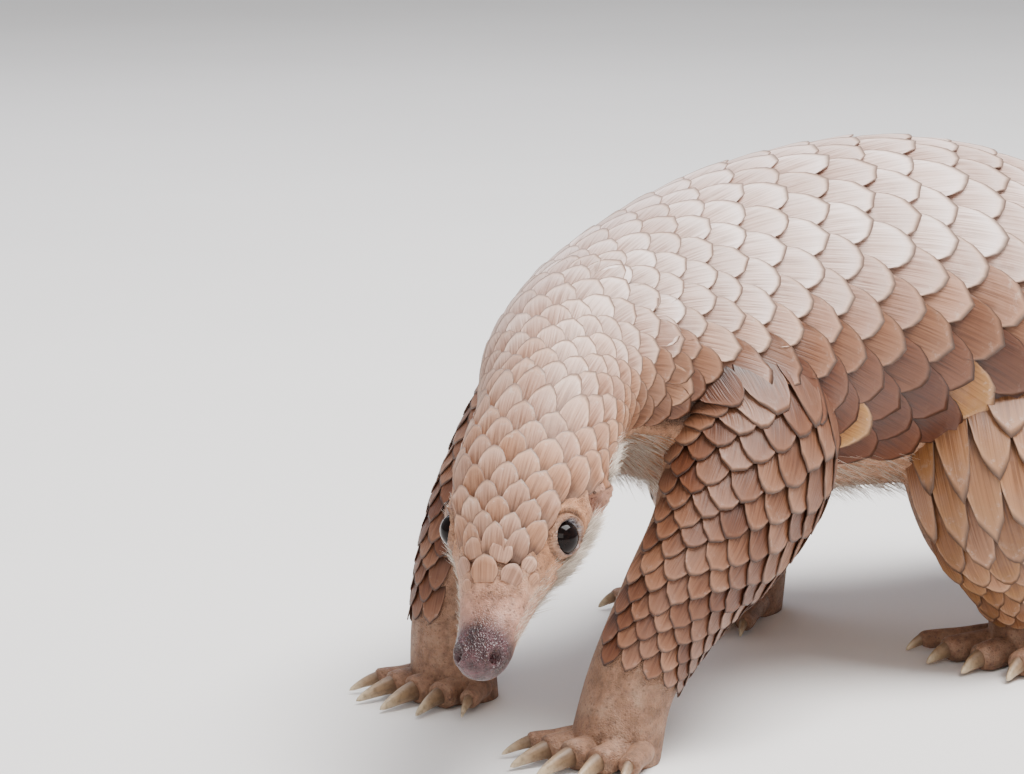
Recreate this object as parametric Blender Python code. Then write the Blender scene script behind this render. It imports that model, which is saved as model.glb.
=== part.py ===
"""Life-size museum model of a white-bellied pangolin, standing with its head down and turned to its left.

Metres, +Z up. The animal faces -X, its left side is towards -Y, and its feet and tail rest on z = 0.
It is modelled whole, as one body with overlapping raised scales, and then parted with thin cuts.
"""

import math
import random

import bmesh
import bpy
import numpy as np
from mathutils import Matrix, Vector

# Driving dimensions, in metres
HEAD_LENGTH = 0.086
TRUNK_HALF_WIDTH = 0.061
TRUNK_HALF_HEIGHT = 0.057
TRUNK_MIDDLE_Z = 0.112
NECK_LENGTH = 0.046
CUT_GAP = 0.0003
HEAD_DIRECTION = Vector((-0.708, -0.340, -0.619)).normalized()
NAPE = Vector((-0.1474, -0.0312, 0.1010))

# Points round each section, and the spacing of the sections along the body
TOE_SIDES = 6
CLAW_SIDES = 6
SLEEVE_SIDES = 28

# The head from nose to nape: share of its length, half width, half height, drop below its axis
HEAD_STATIONS = (
    (1.026, 0.0012, 0.0012, 0.0068),
    (1.018, 0.0038, 0.0034, 0.0066),
    (1.000, 0.0060, 0.0054, 0.0063),
    (0.970, 0.0077, 0.0069, 0.0060),
    (0.930, 0.0088, 0.0078, 0.0058),
    (0.850, 0.0093, 0.0086, 0.0050),
    (0.700, 0.0124, 0.0120, 0.0032),
    (0.580, 0.0163, 0.0154, 0.0018),
    (0.470, 0.0196, 0.0184, 0.0010),
    (0.330, 0.0220, 0.0208, 0.0003),
    (0.180, 0.0216, 0.0217, 0.0000),
    (0.000, 0.0210, 0.0218, 0.0000),
)

# Neck and trunk: x, y, z, half width and half height as shares of the largest ones
TRUNK_STATIONS = (
    (-0.124, -0.016, 0.110, 0.41, 0.47),
    (-0.092, -0.006, TRUNK_MIDDLE_Z, 0.57, 0.63),
    (-0.047, -0.001, TRUNK_MIDDLE_Z, 0.79, 0.84),
    (0.010, 0.000, TRUNK_MIDDLE_Z, 0.97, 0.98),
    (0.065, -0.002, 0.109, 1.00, 1.00),
    (0.115, -0.006, 0.097, 0.89, 0.90),
    (0.158, -0.008, 0.074, 0.73, 0.70),
)

# Shoulder and thigh: place behind the nape, angle from the top, height, reach along and round the body
SWELLS = (
    (0.088, 112, 0.0140, 0.030, 34),
    (0.225, 108, 0.0150, 0.046, 36),
)

# Tail: x, y, half width, half height; it comes down from the rump and lies on the floor
TAIL_STATIONS = (
    (0.205, -0.006, 0.0400, 0.0290),
    (0.262, 0.003, 0.0370, 0.0225),
    (0.335, 0.022, 0.0345, 0.0185),
    (0.415, 0.046, 0.0310, 0.0160),
    (0.495, 0.060, 0.0268, 0.0138),
    (0.572, 0.053, 0.0220, 0.0115),
    (0.638, 0.031, 0.0165, 0.0090),
    (0.672, 0.013, 0.0110, 0.0065),
    (0.682, 0.006, 0.0045, 0.0035),
)
TAIL_DROP_Z = (0.050, 0.0285)
TAIL_SINK = 0.0008
TAIL_CUTS = (0.16, 0.46, 0.74)

# Legs on the left side: x, y, z, radius across the body, radius along it
FORELEG_STATIONS = (
    (-0.064, -0.024, 0.104, 0.0280, 0.0330),
    (-0.068, -0.040, 0.086, 0.0265, 0.0290),
    (-0.087, -0.047, 0.065, 0.0212, 0.0240),
    (-0.110, -0.047, 0.044, 0.0165, 0.0175),
    (-0.126, -0.045, 0.022, 0.0140, 0.0140),
    (-0.133, -0.044, -0.001, 0.0150, 0.0142),
)
HINDLEG_STATIONS = (
    (0.080, -0.026, 0.092, 0.0380, 0.0460),
    (0.058, -0.045, 0.075, 0.0340, 0.0450),
    (0.045, -0.056, 0.055, 0.0280, 0.0375),
    (0.051, -0.059, 0.036, 0.0215, 0.0260),
    (0.060, -0.059, 0.018, 0.0178, 0.0200),
    (0.062, -0.058, -0.001, 0.0175, 0.0210),
)
RIGHT_STRIDE = {"fore": 0.022, "hind": -0.024}
LEG_ROOT = {"fore": 0.30, "hind": 0.30}
ANKLE_Z = 0.021

# Toes: angle outwards from straight ahead, place across the foot as a share of its half width, size
TOES = (
    (-30, -0.95, 0.62),
    (-12, -0.52, 0.90),
    (0, 0.0, 1.00),
    (12, 0.52, 0.92),
    (28, 0.95, 0.66),
)
FOOT_LENGTH = {"fore": 0.018, "hind": 0.034}
CLAW_LENGTH = {"fore": 0.016, "hind": 0.0105}
TOE_RADIUS = 0.0052
TOE_SPREAD = 0.85
TOE_HEIGHT = 0.0050
TOE_DROP = 0.0006
TOE_BEND = 0.30
CLAW_BEND = 0.55
CLAW_FLAT = 0.72
CLAW_TIP_HEIGHT = 0.0012

# Eyes and lids: place along the head from the nose, angle down from its top in degrees
EYE_RADIUS = 0.0052
EYE_PLACE = 0.530
EYE_ANGLE = 74
EYE_DEPTH = 0.0026
EYE_SEGMENTS = 12
LID_SIDES = 12
LID_RADIUS = 0.0051
LID_OPENING = 1.10
LID_LIFT = 0.0016
LID_THICKNESS = 0.0011

# The ear is an opening with a fold of skin behind it
EAR_PLACE = 0.76
EAR_ANGLE = 106
EAR_LONG = 0.0048
EAR_HIGH = 0.0062
EAR_DEPTH = 0.0030
EAR_CELL = 0.0022
EAR_FOLD_POINTS = 9
EAR_FOLD_SWEEP = 230
EAR_FOLD_LIFT = 0.0012
EAR_FOLD_THICKNESS = 0.0012

# Mouth and nose
MOUTH_FRONT = 0.0080
MOUTH_LENGTH = 0.0150
MOUTH_SPREAD = 60
MOUTH_POINTS = 15
MOUTH_GROOVE = 0.0005
LIP_RADIUS = 0.0010
LIP_OFFSET = 9
NOSTRIL_PLACE = 0.0024
NOSTRIL_ANGLE = 62
NOSTRIL_RADII = (0.0010, 0.0012, 0.0016)

# Scales: how many go round, how far tips are raised, rows as shares of a scale's width, and where they grow
SCALE_COLUMNS = 14
SCALE_LIFT = 0.0034
WIDEST_SCALE = 0.026
NARROW_SCALE_LIFT = 0.30
SCALE_LEVELS = (-0.45, 0.0, 0.55)
SCALE_OVERHANG = 0.30
SCALE_VARIES = 0.12
ROW_STEP = 0.76
ROW_STEP_TAIL = 1.80
ROW_STEP_NOSE = 0.28
NOSE_ROUND = 0.0035
LEAST_ROW_STEP = 0.0005
BODY_HALF_ARC = math.radians(124)
HEAD_HALF_ARC = math.radians(84)
BODY_DROOP = 0.30
TAIL_SCALES_END = 0.012
HEAD_SCALES_START = 0.30
LEG_COLUMNS = 12
LEG_MIDDLE = math.radians(-68)
LEG_HALF_ARC = math.radians(78)
LEG_SCALES = (0.05, 0.74)

# Blocks that part the body into its nodes
SLEEVE_STEP = 0.012
SLEEVE_PAST = 0.020
BODY_CELL_GROW = 0.010
TORSO_CELL_GROW = 0.036
LEG_CELL_GROW = 0.006
FOOT_CELL = 0.075

# Colours, linear RGB
SCALE_COLOUR = (0.235, 0.142, 0.094)
SKIN_COLOUR = (0.40, 0.235, 0.165)
EYE_COLOUR = (0.010, 0.007, 0.006)
CLAW_COLOUR = (0.30, 0.21, 0.13)
SMOOTH_ANGLE = math.radians(35)

random.seed(7)


def clear_scene():
    for found in list(bpy.data.objects):
        bpy.data.objects.remove(found)


def material(name, colour, roughness):
    made = bpy.data.materials.new(name)
    made.use_nodes = True
    shader = made.node_tree.nodes["Principled BSDF"]
    shader.inputs["Base Color"].default_value = (*colour, 1.0)
    shader.inputs["Roughness"].default_value = roughness
    return made


class Tube:
    """A body or limb swept along a smooth line, with elliptical sections."""

    def __init__(self, stations):
        self.rows = np.array(stations, float)
        steps = np.linalg.norm(np.diff(self.rows[:, :3], axis=0), axis=1)
        self.places = np.concatenate([[0.0], np.cumsum(steps)])
        self.length = self.places[-1]
        self.slopes = np.gradient(self.rows, self.places, axis=0)
        self.swells = ()

    def row(self, s):
        """The station's values at arc length s, by cubic Hermite interpolation."""
        s = min(max(s, 0.0), self.length)
        i = min(int(np.searchsorted(self.places, s, side="right")) - 1, len(self.places) - 2)
        h = self.places[i + 1] - self.places[i]
        u = (s - self.places[i]) / h
        return (
            (2 * u**3 - 3 * u**2 + 1) * self.rows[i]
            + (u**3 - 2 * u**2 + u) * h * self.slopes[i]
            + (3 * u**2 - 2 * u**3) * self.rows[i + 1]
            + (u**3 - u**2) * h * self.slopes[i + 1]
        )

    def frame(self, s):
        """Centre, direction, left and up at arc length s."""
        reach = 0.002
        ahead = Vector(self.row(s + reach)[:3])
        behind = Vector(self.row(s - reach)[:3])
        along = (ahead - behind).normalized()
        left = self.left_of(along)
        return Vector(self.row(s)[:3]), along, left, left.cross(along)

    def left_of(self, along):
        return along.cross(Vector((0, 0, 1))).normalized()

    def point(self, s, angle, height=0.0):
        """A point on the surface at arc length s and angle from the top, raised by height."""
        centre, along, left, up = self.frame(s)
        half_width, half_height = self.row(s)[3:5]
        across, above = math.sin(angle), math.cos(angle)
        normal = Vector((across / half_width, above / half_height)).normalized()
        height += self.swell(s, angle)
        return (
            centre
            + left * (across * half_width + normal.x * height)
            + up * (above * half_height + normal.y * height)
        )

    def swell(self, s, angle):
        """How far the shoulders and thighs push the flank out."""
        turned = abs((angle + math.pi) % (2 * math.pi) - math.pi)
        total = 0.0
        for place, middle, height, reach, spread in self.swells:
            total += height * math.exp(-(((s - place) / reach) ** 2) - ((turned - middle) / spread) ** 2)
        return total

    def outward(self, s, angle):
        return (self.point(s, angle, 0.01) - self.point(s, angle)).normalized()

    def ring(self, s, sides, grow=0.0):
        return [self.point(s, 2 * math.pi * k / sides, grow) for k in range(sides)]

    def radius(self, s):
        half_width, half_height = self.row(s)[3:5]
        return math.sqrt((half_width**2 + half_height**2) / 2)


class Limb(Tube):
    """A leg, whose sections are measured across the body and along it; angle 0 faces forwards."""

    def left_of(self, along):
        return Vector((1, 0, 0)).cross(along).normalized()


def linked(name, mesh):
    data = bpy.data.meshes.new(name)
    mesh.to_mesh(data)
    mesh.free()
    made = bpy.data.objects.new(name, data)
    bpy.context.scene.collection.objects.link(made)
    return made


def loft(name, rings):
    """A closed solid through rings of equally many points, with a fan of faces at each end."""
    mesh = bmesh.new()
    loops = [[mesh.verts.new(point) for point in ring] for ring in rings]
    sides = len(rings[0])
    for first, second in zip(loops, loops[1:]):
        for k in range(sides):
            after = (k + 1) % sides
            mesh.faces.new((first[k], first[after], second[after], second[k]))
    for loop in (loops[0], loops[-1]):
        middle = sum((vert.co for vert in loop), Vector()) / sides
        centre = mesh.verts.new(middle)
        for k in range(sides):
            mesh.faces.new((loop[k], loop[(k + 1) % sides], centre))
    bmesh.ops.recalc_face_normals(mesh, faces=mesh.faces)
    return linked(name, mesh)


def ball(name, centre, radii, turn=None, segments=14):
    """An ellipsoid with its own radii along its local axes."""
    mesh = bmesh.new()
    bmesh.ops.create_uvsphere(mesh, u_segments=segments, v_segments=segments * 2 // 3, radius=1.0)
    place = Matrix.Translation(centre) @ (turn or Matrix()) @ Matrix.Diagonal((*radii, 1.0))
    bmesh.ops.transform(mesh, matrix=place, verts=mesh.verts)
    return linked(name, mesh)


def box(name, low, high):
    mesh = bmesh.new()
    bmesh.ops.create_cube(mesh, size=1.0)
    size = [b - a for a, b in zip(low, high)]
    middle = [(a + b) / 2 for a, b in zip(low, high)]
    place = Matrix.Translation(middle) @ Matrix.Diagonal((*size, 1.0))
    bmesh.ops.transform(mesh, matrix=place, verts=mesh.verts)
    return linked(name, mesh)


def cord(name, points, radius, closed=False):
    """A round ridge or groove along the given points, as a closed mesh."""
    curve = bpy.data.curves.new(name, "CURVE")
    curve.dimensions = "3D"
    curve.bevel_depth = radius
    curve.bevel_resolution = 1
    curve.use_fill_caps = True
    spline = curve.splines.new("POLY")
    spline.points.add(len(points) - 1)
    for place, point in zip(spline.points, points):
        place.co = (*point, 1.0)
    spline.use_cyclic_u = closed
    helper = bpy.data.objects.new(name + "_line", curve)
    bpy.context.scene.collection.objects.link(helper)
    bpy.context.view_layer.update()
    evaluated = helper.evaluated_get(bpy.context.evaluated_depsgraph_get())
    mesh = bmesh.new()
    mesh.from_mesh(bpy.data.meshes.new_from_object(evaluated))
    bmesh.ops.remove_doubles(mesh, verts=mesh.verts, dist=1e-6)
    bmesh.ops.recalc_face_normals(mesh, faces=mesh.faces)
    bpy.data.objects.remove(helper)
    return linked(name, mesh)


def combine(target, others, operation):
    """Applies one Boolean of all the other objects to the target, and removes them."""
    group = bpy.data.collections.new("pieces")
    bpy.context.scene.collection.children.link(group)
    for other in others:
        bpy.context.scene.collection.objects.unlink(other)
        group.objects.link(other)
    modifier = target.modifiers.new("join", "BOOLEAN")
    modifier.operation = operation
    modifier.solver = "MANIFOLD"
    modifier.operand_type = "COLLECTION"
    modifier.collection = group
    bpy.context.view_layer.update()
    evaluated = target.evaluated_get(bpy.context.evaluated_depsgraph_get())
    data = bpy.data.meshes.new_from_object(evaluated)
    target.modifiers.clear()
    target.data = data
    for other in list(group.objects):
        bpy.data.objects.remove(other)
    bpy.data.collections.remove(group)
    return target


def copy_of(source, name):
    made = bpy.data.objects.new(name, source.data.copy())
    bpy.context.scene.collection.objects.link(made)
    return made


def spread_of(verts):
    """The volume of the box round the vertices."""
    places = np.array([vert.co for vert in verts])
    return float(np.prod(places.max(0) - places.min(0)))


def keep_largest(target):
    """Drops every closed surface of the object but its largest."""
    mesh = bmesh.new()
    mesh.from_mesh(target.data)
    left = set(mesh.verts)
    islands = []
    while left:
        ends = [left.pop()]
        island = set(ends)
        while ends:
            for edge in ends.pop().link_edges:
                for vert in edge.verts:
                    if vert in left:
                        left.discard(vert)
                        island.add(vert)
                        ends.append(vert)
        islands.append(island)
    largest = max(islands, key=spread_of)
    scraps = [vert for island in islands if island is not largest for vert in island]
    bmesh.ops.delete(mesh, geom=scraps, context="VERTS")
    mesh.to_mesh(target.data)
    mesh.free()


def other_side(source):
    """The same solid on the right side of the animal, in place of the left one."""
    mesh = bmesh.new()
    mesh.from_mesh(source.data)
    bmesh.ops.transform(mesh, matrix=Matrix.Diagonal((1.0, -1.0, 1.0, 1.0)), verts=mesh.verts)
    bmesh.ops.reverse_faces(mesh, faces=mesh.faces)
    name = source.name
    bpy.data.objects.remove(source)
    return linked(name, mesh)


def facing(out):
    """A turn that takes +Z to the given direction."""
    return out.to_track_quat("Z", "Y").to_matrix().to_4x4()


def body_tube():
    """The whole animal from nose to tail tip, as one tube."""
    side = HEAD_DIRECTION.cross(Vector((0, 0, 1))).normalized()
    up = side.cross(HEAD_DIRECTION).normalized()
    stations = []
    for share, half_width, half_height, drop in HEAD_STATIONS:
        place = NAPE + HEAD_DIRECTION * HEAD_LENGTH * share - up * drop
        stations.append((*place, half_width, half_height))
    for x, y, z, width_share, height_share in TRUNK_STATIONS:
        stations.append((x, y, z, width_share * TRUNK_HALF_WIDTH, height_share * TRUNK_HALF_HEIGHT))
    for index, (x, y, half_width, half_height) in enumerate(TAIL_STATIONS):
        z = TAIL_DROP_Z[index] if index < len(TAIL_DROP_Z) else half_height - TAIL_SINK
        stations.append((x, y, z, half_width, half_height))
    tube = Tube(stations)
    tube.nape = tube.places[len(HEAD_STATIONS) - 1]
    tube.swells = [
        (tube.nape + place, math.radians(angle), height, reach, math.radians(spread))
        for place, angle, height, reach, spread in SWELLS
    ]
    tube.tail_root = tube.places[len(HEAD_STATIONS) + len(TRUNK_STATIONS) - 1]
    return tube


def leg_tube(kind, side):
    """The leg's line, with a right foot moved along the body by its stride and the hip left in place."""
    stations = FORELEG_STATIONS if kind == "fore" else HINDLEG_STATIONS
    stride = RIGHT_STRIDE[kind] if side == "right" else 0.0
    last = len(stations) - 1
    return Limb([(x + stride * (i / last) ** 1.5, *rest) for i, (x, *rest) in enumerate(stations)])


def shingled(name, tube, columns, row_step, lift_at, droop):
    """A tube whose surface is laid with overlapping scales, as staggered rows of diamonds.

    Each corner of the lattice holds three levels: the root of the scale behind it, the sides
    of its two neighbours, and the raised tip of the scale in front of it.
    """
    places = [0.0]
    while places[-1] < tube.length:
        width = 2 * math.pi * tube.radius(places[-1]) / columns
        places.append(places[-1] + max(LEAST_ROW_STEP, width * row_step(places[-1])))
    places = [s * tube.length / places[-1] for s in places]
    mesh = bmesh.new()
    corners = []
    for row, s in enumerate(places):
        levels = []
        for column in range(columns):
            angle = 2 * math.pi * (column + 0.5 * (row % 2)) / columns
            lift = lift_at(s, angle)
            if lift <= 0.0 or row in (0, len(places) - 1):
                levels.append([mesh.verts.new(tube.point(s, angle))] * 3)
                continue
            vary = random.uniform(1 - SCALE_VARIES, 1 + SCALE_VARIES)
            reach = SCALE_OVERHANG * (places[row + 1] - s) * vary
            turned = angle + droop * math.sin(angle) * reach / tube.radius(s)
            root, side, tip = (lift * level for level in SCALE_LEVELS)
            spots = ((s, angle, root), (s, angle, side), (s + reach, turned, tip * vary))
            levels.append([mesh.verts.new(tube.point(*spot)) for spot in spots])
        corners.append(levels)

    def face(*verts):
        kept = list(dict.fromkeys(verts))
        if len(kept) == 4:
            mesh.faces.new(kept[:3])
            mesh.faces.new((kept[0], kept[2], kept[3]))
        if len(kept) == 3:
            mesh.faces.new(kept)

    root, side, tip = range(3)
    last = len(places) - 1
    for row in range(len(places)):
        for column in range(columns):
            after = (column + 1) % columns
            middle = (column + row % 2) % columns
            left, right = corners[row][column], corners[row][after]
            front = corners[row - 1][middle] if row > 0 else None
            behind = corners[row + 1][middle] if row < last else None
            if front and behind:
                face(front[root], left[side], behind[tip], right[side])
            elif behind:
                face(left[side], behind[tip], right[side])
            else:
                face(front[root], left[side], right[side])
            if behind:
                face(left[root], behind[side], behind[tip], left[side])
                face(right[side], behind[tip], behind[side], right[root])
    for levels in (corners[0], corners[-1]):
        loop = [level[side] for level in levels]
        centre = mesh.verts.new(sum((vert.co for vert in loop), Vector()) / columns)
        for k in range(columns):
            mesh.faces.new((loop[k], loop[(k + 1) % columns], centre))
    bmesh.ops.recalc_face_normals(mesh, faces=mesh.faces)
    return linked(name, mesh)


def lift_for(tube, s, columns):
    """How far a scale's tip stands above its root, more for a wider scale."""
    width = 2 * math.pi * tube.radius(s) / columns
    return SCALE_LIFT * min(1.0, NARROW_SCALE_LIFT + width / WIDEST_SCALE)


def scaled_body(body):
    """Head, trunk and tail in scales, with the muzzle, cheeks, throat and belly left bare."""

    def lift_at(s, angle):
        turned = math.pi - abs(math.pi - angle)
        arc = HEAD_HALF_ARC if s < body.nape else BODY_HALF_ARC if s < body.tail_root else math.pi
        bare = s < HEAD_LENGTH * HEAD_SCALES_START or s > body.length - TAIL_SCALES_END
        return 0.0 if bare or turned > arc else lift_for(body, s, SCALE_COLUMNS)

    def row_step(s):
        if s < NOSE_ROUND:
            return ROW_STEP_NOSE
        return ROW_STEP if s < body.tail_root else ROW_STEP_TAIL

    return shingled("body", body, SCALE_COLUMNS, row_step, lift_at, BODY_DROOP)


def scaled_leg(limb):
    """A leg with scales on its front and outer side, down to above the foot."""

    def lift_at(s, angle):
        turned = abs((angle - LEG_MIDDLE + math.pi) % (2 * math.pi) - math.pi)
        bare = not LEG_SCALES[0] < s / limb.length < LEG_SCALES[1]
        return 0.0 if bare or turned > LEG_HALF_ARC else lift_for(limb, s, LEG_COLUMNS)

    return shingled("leg", limb, LEG_COLUMNS, lambda s: ROW_STEP, lift_at, 0.0)


def toe_rings(start, heading, reach, drop, radii, sides, bends, flat=1.0):
    """Sections along a toe or claw that runs out from its start and bends down towards the floor."""
    ahead = Vector((-math.cos(heading), -math.sin(heading), 0.0))
    across = ahead.cross(Vector((0, 0, 1)))
    rings = []
    for i, radius in enumerate(radii):
        share = i / (len(radii) - 1)
        bend = bends[0] + (bends[1] - bends[0]) * share
        centre = start + ahead * reach * share - Vector((0, 0, drop * share**1.6))
        rise = Vector((0, 0, 1)) * math.cos(bend) + ahead * math.sin(bend)
        ring = []
        for k in range(sides):
            turn = 2 * math.pi * k / sides
            ring.append(centre + (across * math.cos(turn) * flat + rise * math.sin(turn)) * radius)
        rings.append(ring)
    return rings


def toes_and_claws(kind, side, limb):
    """The toes of a foot, to be fused with it, and its claws, which stay separate, both made on the left."""
    toes, claws = [], []
    ankle_x, ankle_y, _, half_width, _ = limb.row(limb.length)
    for number, (turn, aside, size) in enumerate(TOES, start=1):
        heading = math.radians(turn)
        start = Vector((ankle_x, ankle_y - aside * half_width * TOE_SPREAD, TOE_HEIGHT))
        reach = FOOT_LENGTH[kind] * (0.75 + 0.25 * size)
        radii = [TOE_RADIUS * size * share for share in (1.15, 1.10, 1.0, 0.82)]
        toes.append(loft("toe", toe_rings(start, heading, reach, TOE_DROP, radii, TOE_SIDES, (0, TOE_BEND))))
        ahead = Vector((-math.cos(heading), -math.sin(heading), 0.0))
        gap = (ahead * math.cos(TOE_BEND) - Vector((0, 0, math.sin(TOE_BEND)))) * CUT_GAP
        claw_start = start + ahead * reach - Vector((0, 0, TOE_DROP)) + gap
        radii = [TOE_RADIUS * size * share for share in (0.66, 0.58, 0.36, 0.10)]
        drop = claw_start.z - CLAW_TIP_HEIGHT
        bends = (TOE_BEND, CLAW_BEND)
        reach = CLAW_LENGTH[kind] * size
        rings = toe_rings(claw_start, heading, reach, drop, radii, CLAW_SIDES, bends, CLAW_FLAT)
        claws.append(loft(f"claw_{kind}_{side}_{number}", rings))
    return toes, claws


def leg_solids(kind, side, limb):
    """A leg with its scales and toes, and its claws, all made on the left."""
    toes, claws = toes_and_claws(kind, side, limb)
    return [scaled_leg(limb), *toes], claws


def eye_place(body, side):
    """Centre of an eye and the direction in which it looks."""
    s, angle = HEAD_LENGTH * EYE_PLACE, side * math.radians(EYE_ANGLE)
    out = body.outward(s, angle)
    return body.point(s, angle) - out * EYE_DEPTH, out


def lids(body, side):
    """The rim of both lids, as one ring round the eye."""
    centre, out = eye_place(body, side)
    turn = facing(out).to_3x3()
    points = []
    for k in range(LID_SIDES):
        a = 2 * math.pi * k / LID_SIDES
        flat = Vector((math.cos(a) * LID_RADIUS * LID_OPENING, math.sin(a) * LID_RADIUS, LID_LIFT))
        points.append(centre + turn @ flat)
    return cord("lids", points, LID_THICKNESS, closed=True)


def ear_frame(body, side):
    """Centre of the ear opening, and a turn whose X runs back along the head and Z points out."""
    s, angle = HEAD_LENGTH * EAR_PLACE, side * math.radians(EAR_ANGLE)
    centre = body.point(s, angle)
    out = body.outward(s, angle)
    back = (body.point(s + 0.005, angle) - centre).normalized()
    up = out.cross(back).normalized()
    back = up.cross(out).normalized()
    return centre, Matrix((back, up, out)).transposed().to_4x4()


def ear_fold(body, side):
    """The fold of skin behind and round the ear opening."""
    centre, turn = ear_frame(body, side)
    points = []
    for k in range(EAR_FOLD_POINTS):
        a = math.radians(EAR_FOLD_SWEEP) * (k / (EAR_FOLD_POINTS - 1) - 0.5)
        flat = Vector((EAR_LONG * math.cos(a), EAR_HIGH * math.sin(a), EAR_FOLD_LIFT * math.cos(a * 0.5)))
        points.append(centre + turn.to_3x3() @ flat)
    return cord("ear_fold", points, EAR_FOLD_THICKNESS)


def ear_hollow(body, side):
    centre, turn = ear_frame(body, side)
    return ball("ear_hollow", centre, (EAR_LONG * 0.62, EAR_HIGH * 0.62, EAR_DEPTH), turn, 8)


def ear_block(body, side, grow):
    """The block that parts an ear from the head."""
    centre, turn = ear_frame(body, side)
    margin = EAR_CELL + grow
    return ball("ear_block", centre, (EAR_LONG + margin, EAR_HIGH + margin, EAR_DEPTH + margin), turn, 12)


def mouth_line(body, lift, spread):
    """Points along the mouth, from one corner to the other by way of the chin."""
    points = []
    for k in range(MOUTH_POINTS):
        u = 2 * k / (MOUTH_POINTS - 1) - 1
        s = MOUTH_FRONT + MOUTH_LENGTH * abs(u) ** 1.4
        angle = math.pi + math.copysign(math.radians(spread) * abs(u) ** 0.6, u)
        points.append(body.point(s, angle, lift))
    return points


def nostril(body, side):
    angle = side * math.radians(NOSTRIL_ANGLE)
    out = body.outward(NOSTRIL_PLACE, angle)
    return ball("nostril", body.point(NOSTRIL_PLACE, angle), NOSTRIL_RADII, facing(out), 8)


def sleeve(tube, start, end, grow, gap, open_start=False, open_end=False):
    """A block round one length of a tube, with its end faces half a gap short of the cuts."""
    steps = max(2, round((end - start) / SLEEVE_STEP))
    rings = []
    for i in range(steps + 1):
        s = start + (end - start) * i / steps
        along = tube.frame(s)[1]
        shift = 0.0
        if i == 0:
            shift = -SLEEVE_PAST if open_start else gap / 2
        if i == steps:
            shift = SLEEVE_PAST if open_end else -gap / 2
        rings.append([point + along * shift for point in tube.ring(s, SLEEVE_SIDES, grow)])
    return loft("sleeve", rings)


def leg_blocks(kind, limb):
    """The block that a left leg fills, the wider one kept clear of it, and its foot's block."""
    start = limb.length * LEG_ROOT[kind]
    x, y = limb.row(limb.length)[:2]
    low = (x - FOOT_CELL, y - FOOT_CELL / 2, -CUT_GAP)
    high = (x + FOOT_CELL / 2, y + FOOT_CELL / 2, ANKLE_Z - CUT_GAP / 2)
    below = (x - FOOT_CELL, y - FOOT_CELL, -FOOT_CELL)
    above = (x + FOOT_CELL, y + FOOT_CELL, ANKLE_Z + CUT_GAP / 2)
    return {
        "leg": sleeve(limb, start, limb.length, LEG_CELL_GROW, CUT_GAP, False, True),
        "clear": sleeve(limb, start, limb.length, LEG_CELL_GROW + CUT_GAP, -CUT_GAP, False, True),
        "foot": box("foot_block", low, high),
        "below": box("below_ankle", below, above),
    }


def part_off(whole, name, block, taken=()):
    """The share of the whole inside the block, less the blocks that other nodes take."""
    node = combine(copy_of(whole, name), [block], "INTERSECT")
    if taken:
        combine(node, list(taken), "DIFFERENCE")
    keep_largest(node)
    return node


def dress(node, finish):
    node.data.materials.clear()
    node.data.materials.append(finish)
    node.data.shade_smooth()
    node.data.set_sharp_from_angle(angle=SMOOTH_ANGLE)


def body_nodes(whole, body, blocks):
    """Head, neck, torso and the four lengths of the tail."""
    tail_length = body.length - body.tail_root
    cuts = [0.0, body.nape, body.nape + NECK_LENGTH, body.tail_root]
    cuts += [body.tail_root + tail_length * share for share in TAIL_CUTS] + [body.length]
    names = ["head", "neck", "torso", "tail_root", "tail_front", "tail_middle", "tail_tip"]
    nodes = []
    for i, name in enumerate(names):
        grow = TORSO_CELL_GROW if name == "torso" else BODY_CELL_GROW
        block = sleeve(body, cuts[i], cuts[i + 1], grow, CUT_GAP, name == names[0], name == names[-1])
        taken = []
        if name == "head":
            taken = [ear_block(body, side, CUT_GAP / 2) for side in (-1, 1)]
        if name in ("neck", "torso", "tail_root"):
            taken = [copy_of(leg["clear"], "clear") for leg in blocks.values()]
        nodes.append(part_off(whole, name, block, taken))
    return nodes


def rest_on_floor(nodes):
    """Moves every node so that the origin is on the floor below the middle of the animal's box."""
    corners = np.array([vert.co for node in nodes for vert in node.data.vertices])
    middle = (corners.min(0) + corners.max(0)) / 2
    for node in nodes:
        node.data.transform(Matrix.Translation((-middle[0], -middle[1], 0.0)))


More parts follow.
